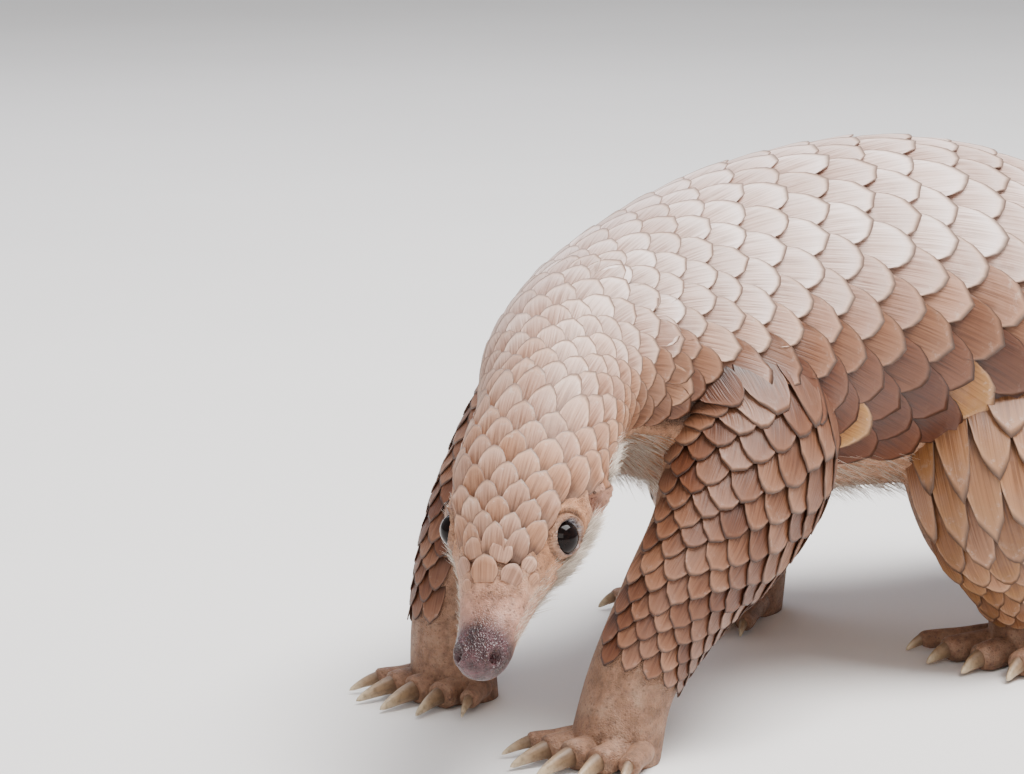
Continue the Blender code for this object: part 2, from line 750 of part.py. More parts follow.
def main():
    clear_scene()
    scaly = material("horn_scales", SCALE_COLOUR, 0.55)
    flesh = material("skin", SKIN_COLOUR, 0.6)
    dark = material("eye", EYE_COLOUR, 0.08)
    horn = material("claw_horn", CLAW_COLOUR, 0.4)

    body = body_tube()
    legs = {(kind, side): leg_tube(kind, side) for kind in ("fore", "hind") for side in ("left", "right")}
    core = scaled_body(body)
    pieces, claws, blocks = [], [], {}
    for (kind, side), limb in legs.items():
        solids, nails = leg_solids(kind, side, limb)
        parting = leg_blocks(kind, limb)
        if side == "right":
            solids = [other_side(solid) for solid in solids]
            nails = [other_side(nail) for nail in nails]
            parting = {name: other_side(block) for name, block in parting.items()}
        pieces += solids
        claws += nails
        blocks[kind, side] = parting

    hollows = []
    for side in (-1, 1):
        pieces += [lids(body, side), ear_fold(body, side)]
        hollows += [ear_hollow(body, side), nostril(body, side)]
        centre = eye_place(body, side)[0]
        hollows.append(ball("socket", centre, (EYE_RADIUS + CUT_GAP,) * 3, None, EYE_SEGMENTS))
    pieces.append(cord("lip", mouth_line(body, -0.0006, MOUTH_SPREAD - LIP_OFFSET), LIP_RADIUS))
    hollows.append(cord("mouth", mouth_line(body, 0.0, MOUTH_SPREAD), MOUTH_GROOVE))
    hollows.append(box("under_floor", (-0.5, -0.5, -0.1), (1.0, 0.5, 0.0)))
    whole = combine(core, pieces, "UNION")
    combine(whole, hollows, "DIFFERENCE")

    nodes = body_nodes(whole, body, blocks)
    for node in nodes:
        dress(node, scaly)
    for (kind, side), parting in blocks.items():
        leg = part_off(whole, f"{kind}leg_{side}", parting["leg"], [parting["below"]])
        foot = part_off(whole, f"{kind}foot_{side}", parting["foot"])
        bpy.data.objects.remove(parting["clear"])
        dress(leg, scaly)
        dress(foot, flesh)
        nodes += [leg, foot]
    for side, name in ((1, "left"), (-1, "right")):
        ear = part_off(whole, f"ear_{name}", ear_block(body, side, -CUT_GAP / 2))
        eye = ball(f"eye_{name}", eye_place(body, side)[0], (EYE_RADIUS,) * 3, None, EYE_SEGMENTS)
        dress(ear, flesh)
        dress(eye, dark)
        nodes += [ear, eye]
    for claw in claws:
        dress(claw, horn)
    bpy.data.objects.remove(whole)
    rest_on_floor(nodes + claws)


main()
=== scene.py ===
import math

import bmesh
import bpy
import numpy as np
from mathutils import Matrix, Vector
from mathutils.bvhtree import BVHTree
from mathutils.kdtree import KDTree


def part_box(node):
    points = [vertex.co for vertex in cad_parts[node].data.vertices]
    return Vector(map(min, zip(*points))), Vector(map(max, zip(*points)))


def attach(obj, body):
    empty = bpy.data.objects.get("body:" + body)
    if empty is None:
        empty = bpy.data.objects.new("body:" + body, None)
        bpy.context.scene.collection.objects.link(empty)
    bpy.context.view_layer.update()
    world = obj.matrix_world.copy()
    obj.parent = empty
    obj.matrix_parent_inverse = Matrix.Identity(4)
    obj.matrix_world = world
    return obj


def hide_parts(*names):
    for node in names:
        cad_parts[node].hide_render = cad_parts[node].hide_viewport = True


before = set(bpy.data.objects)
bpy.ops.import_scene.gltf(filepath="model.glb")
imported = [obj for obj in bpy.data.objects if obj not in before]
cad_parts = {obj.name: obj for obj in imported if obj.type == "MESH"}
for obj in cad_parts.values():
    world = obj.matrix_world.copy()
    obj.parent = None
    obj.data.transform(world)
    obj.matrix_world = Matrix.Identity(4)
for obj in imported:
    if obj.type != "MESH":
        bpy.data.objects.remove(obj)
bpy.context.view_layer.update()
rng = np.random.default_rng(11)
scene = bpy.context.scene


# The same named sizes as the solids, in metres
headLength = 0.086
trunkHalfWidth = 0.061
trunkHalfHeight = 0.057
headDirection = np.array((-0.708, -0.340, -0.619))
headDirection /= np.linalg.norm(headDirection)
nape = np.array((-0.1474, -0.0312, 0.1010))
# Share of the head's length, half width, half height, how far the middle hangs below the head's axis
headStations = (
    (1.026, 0.0012, 0.0012, 0.0068),
    (1.018, 0.0038, 0.0034, 0.0066),
    (1.000, 0.0060, 0.0054, 0.0063),
    (0.970, 0.0077, 0.0069, 0.0060),
    (0.930, 0.0088, 0.0078, 0.0058),
    (0.850, 0.0093, 0.0086, 0.0050),
    (0.700, 0.0124, 0.0120, 0.0032),
    (0.580, 0.0163, 0.0154, 0.0018),
    (0.470, 0.0196, 0.0184, 0.0010),
    (0.330, 0.0220, 0.0208, 0.0003),
    (0.180, 0.0216, 0.0217, 0.0000),
    (0.000, 0.0210, 0.0218, 0.0000),
)
# Middle of the section, then shares of the trunk's half width and half height
trunkStations = (
    (-0.124, -0.016, 0.110, 0.41, 0.47),
    (-0.092, -0.006, 0.112, 0.57, 0.63),
    (-0.047, -0.001, 0.112, 0.79, 0.84),
    (0.010, 0.000, 0.112, 0.97, 0.98),
    (0.065, -0.002, 0.109, 1.00, 1.00),
    (0.115, -0.006, 0.097, 0.89, 0.90),
    (0.158, -0.008, 0.074, 0.73, 0.70),
)
# Middle of the section from above, half width, half height: past the first two the tail lies on the floor
tailStations = (
    (0.205, -0.006, 0.0400, 0.0290),
    (0.262, 0.003, 0.0370, 0.0225),
    (0.335, 0.022, 0.0345, 0.0185),
    (0.415, 0.046, 0.0310, 0.0160),
    (0.495, 0.060, 0.0268, 0.0138),
    (0.572, 0.053, 0.0220, 0.0115),
    (0.638, 0.031, 0.0165, 0.0090),
    (0.672, 0.013, 0.0110, 0.0065),
    (0.682, 0.006, 0.0045, 0.0035),
)
tailDropZ = (0.050, 0.0285)
tailSink = 0.0008
# Shoulder and haunch: place behind the nape, degrees round the trunk, height, reach, spread in degrees
swells = ((0.088, 112, 0.0140, 0.030, 34), (0.225, 108, 0.0150, 0.046, 36))
# Middle of the section, half width across and half depth, from inside the trunk down to the sole
forelegStations = (
    (-0.064, -0.024, 0.104, 0.0280, 0.0330),
    (-0.068, -0.040, 0.086, 0.0265, 0.0290),
    (-0.087, -0.047, 0.065, 0.0212, 0.0240),
    (-0.110, -0.047, 0.044, 0.0165, 0.0175),
    (-0.126, -0.045, 0.022, 0.0140, 0.0140),
    (-0.133, -0.044, -0.001, 0.0150, 0.0142),
)
hindlegStations = (
    (0.080, -0.026, 0.092, 0.0380, 0.0460),
    (0.058, -0.045, 0.075, 0.0340, 0.0450),
    (0.045, -0.056, 0.055, 0.0280, 0.0375),
    (0.051, -0.059, 0.036, 0.0215, 0.0260),
    (0.060, -0.059, 0.018, 0.0178, 0.0200),
    (0.062, -0.058, -0.001, 0.0175, 0.0210),
)
rightStride = {"fore": 0.022, "hind": -0.024}
# Degrees turned outwards, place across the ankle, share of the full size
toes = ((-30, -0.95, 0.62), (-12, -0.52, 0.90), (0, 0.0, 1.00), (12, 0.52, 0.92), (28, 0.95, 0.66))
footLength = {"fore": 0.018, "hind": 0.034}
clawLength = {"fore": 0.016, "hind": 0.0105}
toeRadius = 0.0052
eyeRadius = 0.0052
eyePlace = 0.530
eyeAngle = math.radians(74)
eyeDepth = 0.0026
earPlace = 0.76
earAngle = math.radians(106)
scaleLift = 0.0034
widestScale = 0.026


def unit(vectors):
    return vectors / np.linalg.norm(vectors, axis=-1, keepdims=True)


def distance(points, middle):
    return np.linalg.norm(points - middle, axis=-1)


def foldedAngle(angle):
    return np.abs((angle + math.pi) % (2 * math.pi) - math.pi)


def turnsOf(sides):
    return 2 * math.pi * np.arange(sides) / sides


class Tube:
    def __init__(self, stations, limb=False):
        self.rows = np.array(stations, float)
        steps = np.linalg.norm(np.diff(self.rows[:, :3], axis=0), axis=1)
        self.places = np.concatenate([[0.0], np.cumsum(steps)])
        self.length = self.places[-1]
        self.slopes = np.gradient(self.rows, self.places, axis=0)
        self.limb = limb
        self.swells = ()

    def row(self, s):
        s = np.clip(np.asarray(s, float), 0.0, self.length)
        i = np.clip(np.searchsorted(self.places, s, side="right") - 1, 0, len(self.places) - 2)
        h = self.places[i + 1] - self.places[i]
        u = ((s - self.places[i]) / h)[..., None]
        h = h[..., None]
        return (
            (2 * u**3 - 3 * u**2 + 1) * self.rows[i]
            + (u**3 - 2 * u**2 + u) * h * self.slopes[i]
            + (3 * u**2 - 2 * u**3) * self.rows[i + 1]
            + (u**3 - u**2) * h * self.slopes[i + 1]
        )

    # Centre, direction, left and up at each place along the tube
    def axes(self, s):
        s = np.asarray(s, float)
        along = unit(self.row(s + 0.002)[..., :3] - self.row(s - 0.002)[..., :3])
        if self.limb:
            left = unit(np.cross(np.broadcast_to((1.0, 0.0, 0.0), along.shape), along))
        else:
            left = unit(np.cross(along, np.broadcast_to((0.0, 0.0, 1.0), along.shape)))
        return self.row(s)[..., :3], along, left, np.cross(left, along)

    def swell(self, s, angle):
        turned = foldedAngle(angle)
        total = np.zeros(np.shape(turned))
        for place, middle, height, reach, spread in self.swells:
            total = total + height * np.exp(-(((s - place) / reach) ** 2) - ((turned - middle) / spread) ** 2)
        return total

    def point(self, s, angle, height=0.0):
        s, angle, height = np.broadcast_arrays(
            np.asarray(s, float), np.asarray(angle, float), np.asarray(height, float)
        )
        centre, _, left, up = self.axes(s)
        row = self.row(s)
        across, above = np.sin(angle), np.cos(angle)
        normal = unit(np.stack([across / row[..., 3], above / row[..., 4]], axis=-1))
        height = height + self.swell(s, angle)
        sideways = across * row[..., 3] + normal[..., 0] * height
        upwards = above * row[..., 4] + normal[..., 1] * height
        return centre + left * sideways[..., None] + up * upwards[..., None]

    def outward(self, s, angle):
        return unit(self.point(s, angle, 0.01) - self.point(s, angle))

    def radius(self, s):
        row = self.row(s)
        return np.sqrt((row[..., 3] ** 2 + row[..., 4] ** 2) / 2)


def bodyTube():
    side = unit(np.cross(headDirection, (0.0, 0.0, 1.0)))
    up = np.cross(side, headDirection)
    stations = []
    for share, halfWidth, halfHeight, drop in headStations:
        place = nape + headDirection * headLength * share - up * drop
        stations.append((*place, halfWidth, halfHeight))
    for x, y, z, widthShare, heightShare in trunkStations:
        stations.append((x, y, z, widthShare * trunkHalfWidth, heightShare * trunkHalfHeight))
    for index, (x, y, halfWidth, halfHeight) in enumerate(tailStations):
        z = tailDropZ[index] if index < len(tailDropZ) else halfHeight - tailSink
        stations.append((x, y, z, halfWidth, halfHeight))
    tube = Tube(stations)
    tube.nape = tube.places[len(headStations) - 1]
    tube.tailRoot = tube.places[len(headStations) + len(trunkStations) - 1]
    tube.swells = [(tube.nape + a, math.radians(b), c, d, math.radians(e)) for a, b, c, d, e in swells]
    return tube


def legTube(kind, side):
    stations = forelegStations if kind == "fore" else hindlegStations
    stride = rightStride[kind] if side == "right" else 0.0
    last = len(stations) - 1
    rows = [(x + stride * (i / last) ** 1.5, *rest) for i, (x, *rest) in enumerate(stations)]
    return Tube(rows, limb=True)


body = bodyTube()
legs = {(kind, side): legTube(kind, side) for kind in ("fore", "hind") for side in ("left", "right")}


def headPoint(share, angle):
    return body.point(headLength * share, angle)


# The solids were moved so that the origin is below the middle of the box: the left eye says how far
low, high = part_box("eye_left")
eyeInwards = -body.outward(headLength * eyePlace, eyeAngle)
shift = np.array((low + high) / 2) - (headPoint(eyePlace, eyeAngle) + eyeInwards * eyeDepth)
shift[1:] = 0.0
print("shift", shift.round(5))


floorRest = 0.0002


# Moves points of the animal to where the solids are; what would be in the floor is pressed flat on it
def place(points, mirrored=False):
    points = np.array(points, float)
    if mirrored:
        points[..., 1] *= -1
    points[..., 2] = np.maximum(points[..., 2], floorRest)
    return points + shift


def linear(code):
    values = [int(code[i : i + 2], 16) / 255 for i in (1, 3, 5)]
    return tuple(v / 12.92 if v <= 0.04045 else ((v + 0.055) / 1.055) ** 2.4 for v in values) + (1.0,)


# A new finish: its look and the shader that it starts with
def newFinish(name):
    made = bpy.data.materials.new(name)
    made.use_nodes = True
    return made, made.node_tree.nodes["Principled BSDF"]


# Gives inputs of a node, named with _ for a space or numbered as in i0, a value or a link
def feed(look, node, **inputs):
    for key, value in inputs.items():
        name = int(key[1:]) if key[1:].isdigit() else key.replace("_", " ")
        if isinstance(value, bpy.types.NodeSocket):
            look.node_tree.links.new(value, node.inputs[name])
        else:
            node.inputs[name].default_value = linear(value) if isinstance(value, str) else value


# Adds a node with its settings and what its inputs come from
def add(look, kind, settings=None, **inputs):
    node = look.node_tree.nodes.new(kind)
    for key, value in (settings or {}).items():
        setattr(node, key, value)
    feed(look, node, **inputs)
    return node


def ramp(look, factor, stops):
    node = add(look, "ShaderNodeValToRGB", Fac=factor)
    elements = node.color_ramp.elements
    while len(elements) < len(stops):
        elements.new(0.5)
    for element, (position, code) in zip(elements, stops):
        element.position = position
        element.color = linear(code)
    return node.outputs["Color"]


def mix(look, factor, first, second, blend="MIX"):
    settings = {"data_type": "RGBA", "blend_type": blend}
    return add(look, "ShaderNodeMix", settings, i0=factor, i6=first, i7=second).outputs[2]


def maths(look, operation, first, second):
    return add(look, "ShaderNodeMath", {"operation": operation}, i0=first, i1=second).outputs[0]


def times(look, first, second):
    return maths(look, "MULTIPLY", first, second)


def plus(look, first, second):
    return maths(look, "ADD", first, second)


def noise(look, where, scale, detail, roughness=0.5):
    node = add(look, "ShaderNodeTexNoise", Vector=where, Scale=scale, Detail=detail, Roughness=roughness)
    return node.outputs["Fac"]


# The three channels of a colour attribute
def channels(look, name):
    source = add(look, "ShaderNodeAttribute", {"attribute_name": name}).outputs["Color"]
    return list(add(look, "ShaderNodeSeparateColor", Color=source).outputs)


def objectSpace(look):
    return add(look, "ShaderNodeTexCoord").outputs["Object"]


def remap(look, value, low, high, toLow=0.0, toHigh=1.0):
    node = add(look, "ShaderNodeMapRange", Value=value, From_Min=low, From_Max=high)
    feed(look, node, To_Min=toLow, To_Max=toHigh)
    return node.outputs["Result"]


# Colours of a scale from its root to its tip: the darker root is partly dirt and partly painted shade where
# the scale in front covers it
hornTones = {
    "base": ((0.25, "#6f4f3b"), (0.45, "#a57758"), (0.70, "#bb8b6b"), (0.90, "#c99a7b"), (1.0, "#dbb193")),
    "worn": ((0.25, "#95796a"), (0.45, "#d2b5a8"), (0.70, "#e8d2ca"), (0.92, "#f6e8e5"), (1.0, "#f8e9df")),
    "golden": ((0.25, "#6b4420"), (0.45, "#a06d30"), (0.70, "#ba843c"), (0.92, "#cb9b50"), (1.0, "#d8ae66")),
}
ridgesPerMetre = 1000.0 / 0.6


# Keratin scale, grown in fine long ridges about 0.6 mm apart that wear smooth towards the tip: dusty tan
# on head and flank, nearly white and a little pink on the back, partly from wear and partly as a painted
# highlight, amber where the horn is clear, with painted shade at the root (along with dirt), along the edge
# and on the lower flanks
def keratin():
    look, shader = newFinish("pangolin_keratin_worn")
    where = add(look, "ShaderNodeUVMap", {"uv_map": "scaleUV"}).outputs[0]
    split = add(look, "ShaderNodeSeparateXYZ", Vector=where)
    across, share = split.outputs["X"], split.outputs["Y"]
    pale, amber, luck = channels(look, "tone")
    edge, low, loose = channels(look, "plate")
    # Loose scales, which no scale covers, start past the root's painted shade
    share = maths(look, "MAXIMUM", share, times(look, loose, 0.66))
    coords = objectSpace(look)

    ridgeSpace = add(
        look, "ShaderNodeCombineXYZ", X=times(look, across, ridgesPerMetre),
        Y=times(look, luck, 37.0), Z=times(look, share, 0.9),
    ).outputs[0]
    ridges = noise(look, ridgeSpace, 1.0, 2.0)
    fine = noise(look, coords, 1100.0, 3.0)
    blotch = noise(look, coords, 110.0, 5.0, 0.65)
    chips = noise(look, coords, 420.0, 4.0, 0.7)
    fresh = remap(look, share, 0.62, 0.95, 1.0, 0.18)

    base, worn, golden = (ramp(look, share, hornTones[name]) for name in ("base", "worn", "golden"))
    # Partly painted highlight: the pale worn tones on the top of the back stand in for light from above
    colour = mix(look, pale, base, worn)
    colour = mix(look, amber, colour, golden)
    shade = ramp(look, luck, ((0.0, "#cfc3bb"), (0.5, "#e9e2de"), (1.0, "#ffffff")))
    colour = mix(look, 0.85, colour, shade, "MULTIPLY")
    streak = ramp(look, ridges, ((0.36, "#98816f"), (0.50, "#e4dad1"), (0.60, "#ffffff")))
    colour = mix(look, times(look, fresh, 0.62), colour, streak, "MULTIPLY")
    dust = remap(look, blotch, 0.48, 0.70, 0.0, 0.42)
    colour = mix(look, dust, colour, mix(look, pale, "#a88269", "#d3bfb7"))
    rubbed = times(look, remap(look, chips, 0.55, 0.66), remap(look, share, 0.74, 0.98))
    colour = mix(look, times(look, rubbed, 0.6), colour, "#e2d5ca")
    rim = times(look, remap(look, edge, 0.86, 0.97), remap(look, share, 0.45, 0.75))
    colour = mix(look, times(look, rim, 0.55), colour, "#d0a283")
    # Painted shade: a dark line along the very edge of each scale, where the gap between the scales lies in
    # shade
    dirtAndEdgeShade = times(look, remap(look, edge, 0.92, 0.985), 0.80)
    colour = mix(look, dirtAndEdgeShade, colour, "#4b382f")
    # Painted shade: scales on the lower flanks, the shoulder and the legs are darkened as if in the body's
    # shade
    colour = mix(look, low, colour, "#80604b", "MULTIPLY")

    height = times(look, ridges, fresh)
    height = plus(look, height, times(look, fine, 0.10))
    height = plus(look, height, times(look, chips, 0.15))
    relief = add(look, "ShaderNodeBump", Strength=0.55, Distance=0.0005, Height=height).outputs[0]
    rough = remap(look, blotch, 0.3, 0.7, 0.38, 0.56)
    feed(look, shader, Base_Color=colour, Roughness=rough, Normal=relief, Specular_IOR_Level=0.5)
    return look


# Thin living skin: tan and pored on the muzzle, warm orange brown round the eye, pinkish purple and moist
# on the nose, with a grey wet rim to the lids, and painted shade below the scales, on the legs, near the
# floor, in the lid creases, the ear holes and the nostrils
def hide():
    look, shader = newFinish("pangolin_skin_short_haired")
    coords = objectSpace(look)
    pink, warm, dark = channels(look, "zone")
    wetRim, line, nose = channels(look, "face")
    toEdge = {"feature": "DISTANCE_TO_EDGE"}
    pores = add(look, "ShaderNodeTexVoronoi", toEdge, Vector=coords, Scale=1150.0).outputs["Distance"]
    pits = add(look, "ShaderNodeTexVoronoi", Vector=coords, Scale=620.0).outputs["Distance"]
    creases = noise(look, coords, 420.0, 6.0, 0.65)
    mottle = noise(look, coords, 150.0, 5.0, 0.6)
    colour = ramp(look, mottle, ((0.30, "#916748"), (0.5, "#b98a6b"), (0.70, "#cda588")))
    blush = ramp(look, mottle, ((0.30, "#9d6e5b"), (0.5, "#c28f7b"), (0.70, "#d6ab98")))
    orange = ramp(look, mottle, ((0.30, "#93603f"), (0.5, "#b78059"), (0.70, "#c99a78")))
    purple = ramp(look, mottle, ((0.32, "#241213"), (0.5, "#402527"), (0.70, "#684347")))
    colour = mix(look, pink, colour, blush)
    colour = mix(look, warm, colour, orange)
    colour = mix(look, nose, colour, purple)
    speck = remap(look, creases, 0.48, 0.62)
    colour = mix(look, wetRim, colour, mix(look, speck, "#6c6468", "#c9c6cd"))
    # Painted shade: the skin is darker below the scales, on the legs and near the floor
    colour = mix(look, dark, colour, "#4a362b")
    # Painted shade: dark in the lid creases, the ear holes and the nostrils
    colour = mix(look, line, colour, "#33221b")
    seams = remap(look, creases, 0.36, 0.56, 0.55, 1.0)
    grey = add(look, "ShaderNodeCombineColor", Red=seams, Green=seams, Blue=seams).outputs[0]
    colour = mix(look, 0.75, colour, grey, "MULTIPLY")
    freckle = times(look, remap(look, pits, 0.10, 0.32, 1.0, 0.0), 0.60)
    colour = mix(look, freckle, colour, "#543a2e")
    moist = maths(look, "MAXIMUM", wetRim, nose)
    feed(look, shader, Base_Color=colour, Roughness=remap(look, moist, 0.0, 1.0, 0.58, 0.27))
    feed(look, shader, Subsurface_Weight=0.06, Subsurface_Radius=(0.003, 0.0012, 0.0008))
    height = plus(look, creases, times(look, remap(look, pores, 0.0, 0.25), 0.30))
    height = plus(look, height, times(look, remap(look, pits, 0.06, 0.30), 0.25))
    relief = add(look, "ShaderNodeBump", Strength=0.9, Distance=0.0006, Height=height).outputs[0]
    feed(look, shader, Normal=relief)
    return look


# Fine guard hair, cream at its tip and brown at its root, a little glossy along its length
def hairFibre():
    look, shader = newFinish("pale_guard_hair")
    share, _, luck = channels(look, "tone")
    colour = ramp(look, share, ((0.0, "#b29c8a"), (0.30, "#e4d8c9"), (1.0, "#fbf2e4")))
    shade = ramp(look, luck, ((0.0, "#a8988a"), (1.0, "#ffffff")))
    feed(look, shader, Base_Color=mix(look, 0.8, colour, shade, "MULTIPLY"), Roughness=0.45)
    return look


# The eye is nearly black with faint dark brown flecks, and so wet and smooth that it mirrors the lights
def eyeball():
    look, shader = newFinish("eye_wet_dark_brown")
    fleck = noise(look, objectSpace(look), 900.0, 3.0)
    colour = ramp(look, fleck, ((0.35, "#070404"), (0.65, "#160b08")))
    feed(look, shader, Base_Color=colour, Roughness=0.04, IOR=1.376, Specular_IOR_Level=0.22)
    return look


# Claw horn, ribbed along its length, brown at the root and pale and polished at the tip
def clawHorn():
    look, shader = newFinish("claw_horn_polished_tip")
    where = add(look, "ShaderNodeUVMap", {"uv_map": "clawUV"}).outputs[0]
    split = add(look, "ShaderNodeSeparateXYZ", Vector=where)
    around, share = split.outputs["X"], split.outputs["Y"]
    narrow, long = times(look, around, 9.0), times(look, share, 0.8)
    ribs = noise(look, add(look, "ShaderNodeCombineXYZ", X=narrow, Y=long).outputs[0], 3.0, 4.0)
    stain = noise(look, objectSpace(look), 600.0, 4.0)
    colour = ramp(look, share, ((0.0, "#5c4433"), (0.5, "#937a5e"), (1.0, "#d2bf9f")))
    # Dirt stains on the claw's horn
    dirtAndEdgeShade = remap(look, stain, 0.45, 0.7, 0.0, 0.5)
    colour = mix(look, dirtAndEdgeShade, colour, "#54402f")
    relief = add(look, "ShaderNodeBump", Strength=0.6, Distance=0.0003, Height=ribs).outputs[0]
    polish = remap(look, share, 0.0, 1.0, 0.55, 0.30)
    feed(look, shader, Base_Color=colour, Roughness=polish, Normal=relief)
    return look


# Plain matt paper of the studio floor, so faintly mottled that it reads as a real surface
def paper():
    look, shader = newFinish("studio_paper_matt")
    mottle = noise(look, objectSpace(look), 3.0, 3.0)
    colour = ramp(look, mottle, ((0.3, "#e6e5e3"), (0.7, "#eae9e7")))
    feed(look, shader, Base_Color=colour, Roughness=0.9)
    return look


scaleFinish, skinFinish, hairFinish = keratin(), hide(), hairFibre()
eyeFinish, clawFinish = eyeball(), clawHorn()
print("materials ready")


def meshObject(name, points, faces, finish):
    data = bpy.data.meshes.new(name)
    data.from_pydata(np.asarray(points).tolist(), [], faces if isinstance(faces, list) else faces.tolist())
    data.materials.append(finish)
    made = bpy.data.objects.new(name, data)
    scene.collection.objects.link(made)
    data.shade_smooth()
    return made


def setCornerUV(data, name, values):
    layer = data.uv_layers.new(name=name)
    layer.uv.foreach_set("vector", np.asarray(values, np.float32).ravel())


def setPointColour(data, name, values):
    layer = data.color_attributes.new(name=name, type="FLOAT_COLOR", domain="POINT")
    rgba = np.ones((len(data.vertices), 4), np.float32)
    rgba[:, :3] = values
    layer.data.foreach_set("color", rgba.ravel())


def cornerVertices(data):
    found = np.empty(len(data.loops), np.int32)
    data.loops.foreach_get("vertex_index", found)
    return found


# How far scales are raised at a place with so many of them round the girth
def liftFor(tube, s, columns):
    width = 2 * math.pi * tube.radius(s) / columns
    return scaleLift * np.minimum(1.0, 0.30 + width / widestScale)


def smoothStep(value, low, high):
    t = np.clip((value - low) / (high - low), 0.0, 1.0)
    return t * t * (3 - 2 * t)


bodyArc = math.radians(124)
headArcShares = (0.28, 0.40, 0.50, 0.60, 0.70, 0.78, 0.92, 1.10)
headArcDegrees = (34, 44, 50, 56, 72, 88, 100, 110)
headScalesStart = 0.30 * headLength
solidColumns = 14


# Half angle of the scaled area: on the head it leaves the cheeks and the skin round the eyes bare
def scaledArc(s):
    onHead = np.radians(np.interp(s / headLength, headArcShares, headArcDegrees))
    return onHead + (bodyArc - onHead) * smoothStep(s, body.nape + 0.008, body.nape + 0.040)


# 1 where scales grow on head, trunk and tail, 0 on bare or haired skin
def scaledShare(s, angle):
    turned = foldedAngle(angle)
    arc = scaledArc(s)
    arc = arc + (math.pi + 0.3 - arc) * smoothStep(s, body.tailRoot - 0.035, body.tailRoot)
    front = smoothStep(s, headScalesStart - 0.004, headScalesStart + 0.006)
    return front * (1 - smoothStep(turned, arc - 0.16, arc))


mouth = {
    "front": 0.0095, "reach": 0.0150, "spread": math.radians(60),
    "depth": 0.0006, "width": 0.0006, "lip": 0.0004,
}


def mouthLine():
    u = np.linspace(-1, 1, 61)
    s = mouth["front"] + mouth["reach"] * np.abs(u) ** 1.4
    angle = math.pi + np.sign(u) * mouth["spread"] * np.abs(u) ** 0.6
    return body.point(s, angle)


def nearestOf(points, line):
    return np.sqrt(((points[..., None, :] - line) ** 2).sum(-1)).min(-1)


lids = {
    "open": 0.0045, "deep": 0.0036, "rim": 0.0055, "rise": 0.0017, "crease": 0.0071, "fold": 0.0084,
    "soft": 0.0005, "bare": (0.0085, 0.0125),
}
earForm = {
    "hole": 0.0034, "deep": 0.0056, "fold": 0.0058, "rise": 0.0027, "ahead": 0.0012, "ridges": 3000,
    "bare": (0.009, 0.013),
}
nostril = {
    "place": 0.0048, "angle": math.radians(52),
    "width": 0.0015, "deep": 0.0026, "lip": 0.0031, "rise": 0.0006,
}
bareDepth = 0.0006


# 1 at one distance, falling away on both sides of it
def hump(far, middle, width):
    return np.exp(-(((far - middle) / width) ** 2))


# The skin lies below the tube's surface, most of all where scales cover it
def sunkenSkin(s, angle):
    return -0.0007 - 0.62 * liftFor(body, s, solidColumns) * scaledShare(s, angle)


def addLids(height, points, side):
    far = distance(points, headPoint(eyePlace, side * eyeAngle))
    near = 1 - smoothStep(far, *lids["bare"])
    height = height * (1 - near) + near * -bareDepth
    height += lids["rise"] * hump(far, lids["rim"], 0.0007)
    height += lids["soft"] * hump(far, lids["fold"], 0.0008)
    height -= lids["soft"] * hump(far, lids["crease"], 0.0005)
    return height - lids["deep"] * (1 - smoothStep(far, lids["open"] - 0.0006, lids["open"] + 0.0004))


def addEar(height, points, side):
    ear = headPoint(earPlace, side * earAngle)
    back = unit(body.point(headLength * earPlace + 0.005, side * earAngle) - ear)
    upward = unit(headPoint(earPlace, side * (earAngle - 0.3)) - ear)
    offset = points - ear
    far = distance(points, ear)
    rear = 0.5 + 0.5 * (offset @ back) / np.maximum(far, 1e-5)
    near = 1 - smoothStep(far, *earForm["bare"])
    height = height * (1 - near) + near * -bareDepth
    ridges = 1 + 0.10 * np.sin((offset @ upward) * earForm["ridges"])
    height += earForm["rise"] * rear * ridges * hump(far, earForm["fold"], 0.0014)
    slit = np.sqrt(((offset @ back + earForm["ahead"]) * 1.4) ** 2 + (offset @ upward * 0.72) ** 2)
    return height - earForm["deep"] * np.exp(-((slit / earForm["hole"]) ** 4))


def addNostril(height, points, side):
    far = distance(points, body.point(nostril["place"], side * nostril["angle"]))
    height -= nostril["deep"] * np.exp(-((far / nostril["width"]) ** 4))
    return height + nostril["rise"] * hump(far, nostril["lip"], 0.0009)


# Height of the skin above the tube's surface: sunk below scales, with lids, ears, lips and nostrils
def skinHeight(s, angle, points):
    height = sunkenSkin(s, angle)
    height = np.where(s > body.tailRoot, np.minimum(height, -0.0010), height)
    for side in (1, -1):
        height = addLids(height, points, side)
        height = addEar(height, points, side)
        height = addNostril(height, points, side)
    far = np.where(s < body.nape * 0.95, nearestOf(points, mouthLine()), 1.0)
    height -= mouth["depth"] * hump(far, 0.0, mouth["width"])
    return height + mouth["lip"] * hump(far, 0.0016, 0.0007)


def gridFaces(rows, columns):
    r, c = np.meshgrid(np.arange(rows - 1), np.arange(columns), indexing="ij")
    first, second = r * columns + c, r * columns + (c + 1) % columns
    return np.stack([first, second, second + columns, first + columns], -1).reshape(-1, 4)


# A closed mesh through rings of equally many points
def loftMesh(name, rings, finish, mirrored=False):
    rings = np.asarray(rings, float)
    rows, columns = rings.shape[:2]
    points = np.concatenate([rings.reshape(-1, 3), rings[0].mean(0)[None], rings[-1].mean(0)[None]])
    faces = gridFaces(rows, columns).tolist()
    for start, centre in ((0, rows * columns), ((rows - 1) * columns, rows * columns + 1)):
        faces += [(start + k, start + (k + 1) % columns, centre) for k in range(columns)]
    made = meshObject(name, place(points, mirrored), faces, finish)
    mesh = bmesh.new()
    mesh.from_mesh(made.data)
    bmesh.ops.recalc_face_normals(mesh, faces=mesh.faces)
    mesh.to_mesh(made.data)
    mesh.free()
    return made


def aheadOf(heading):
    return np.array((-math.cos(heading), -math.sin(heading), 0.0))


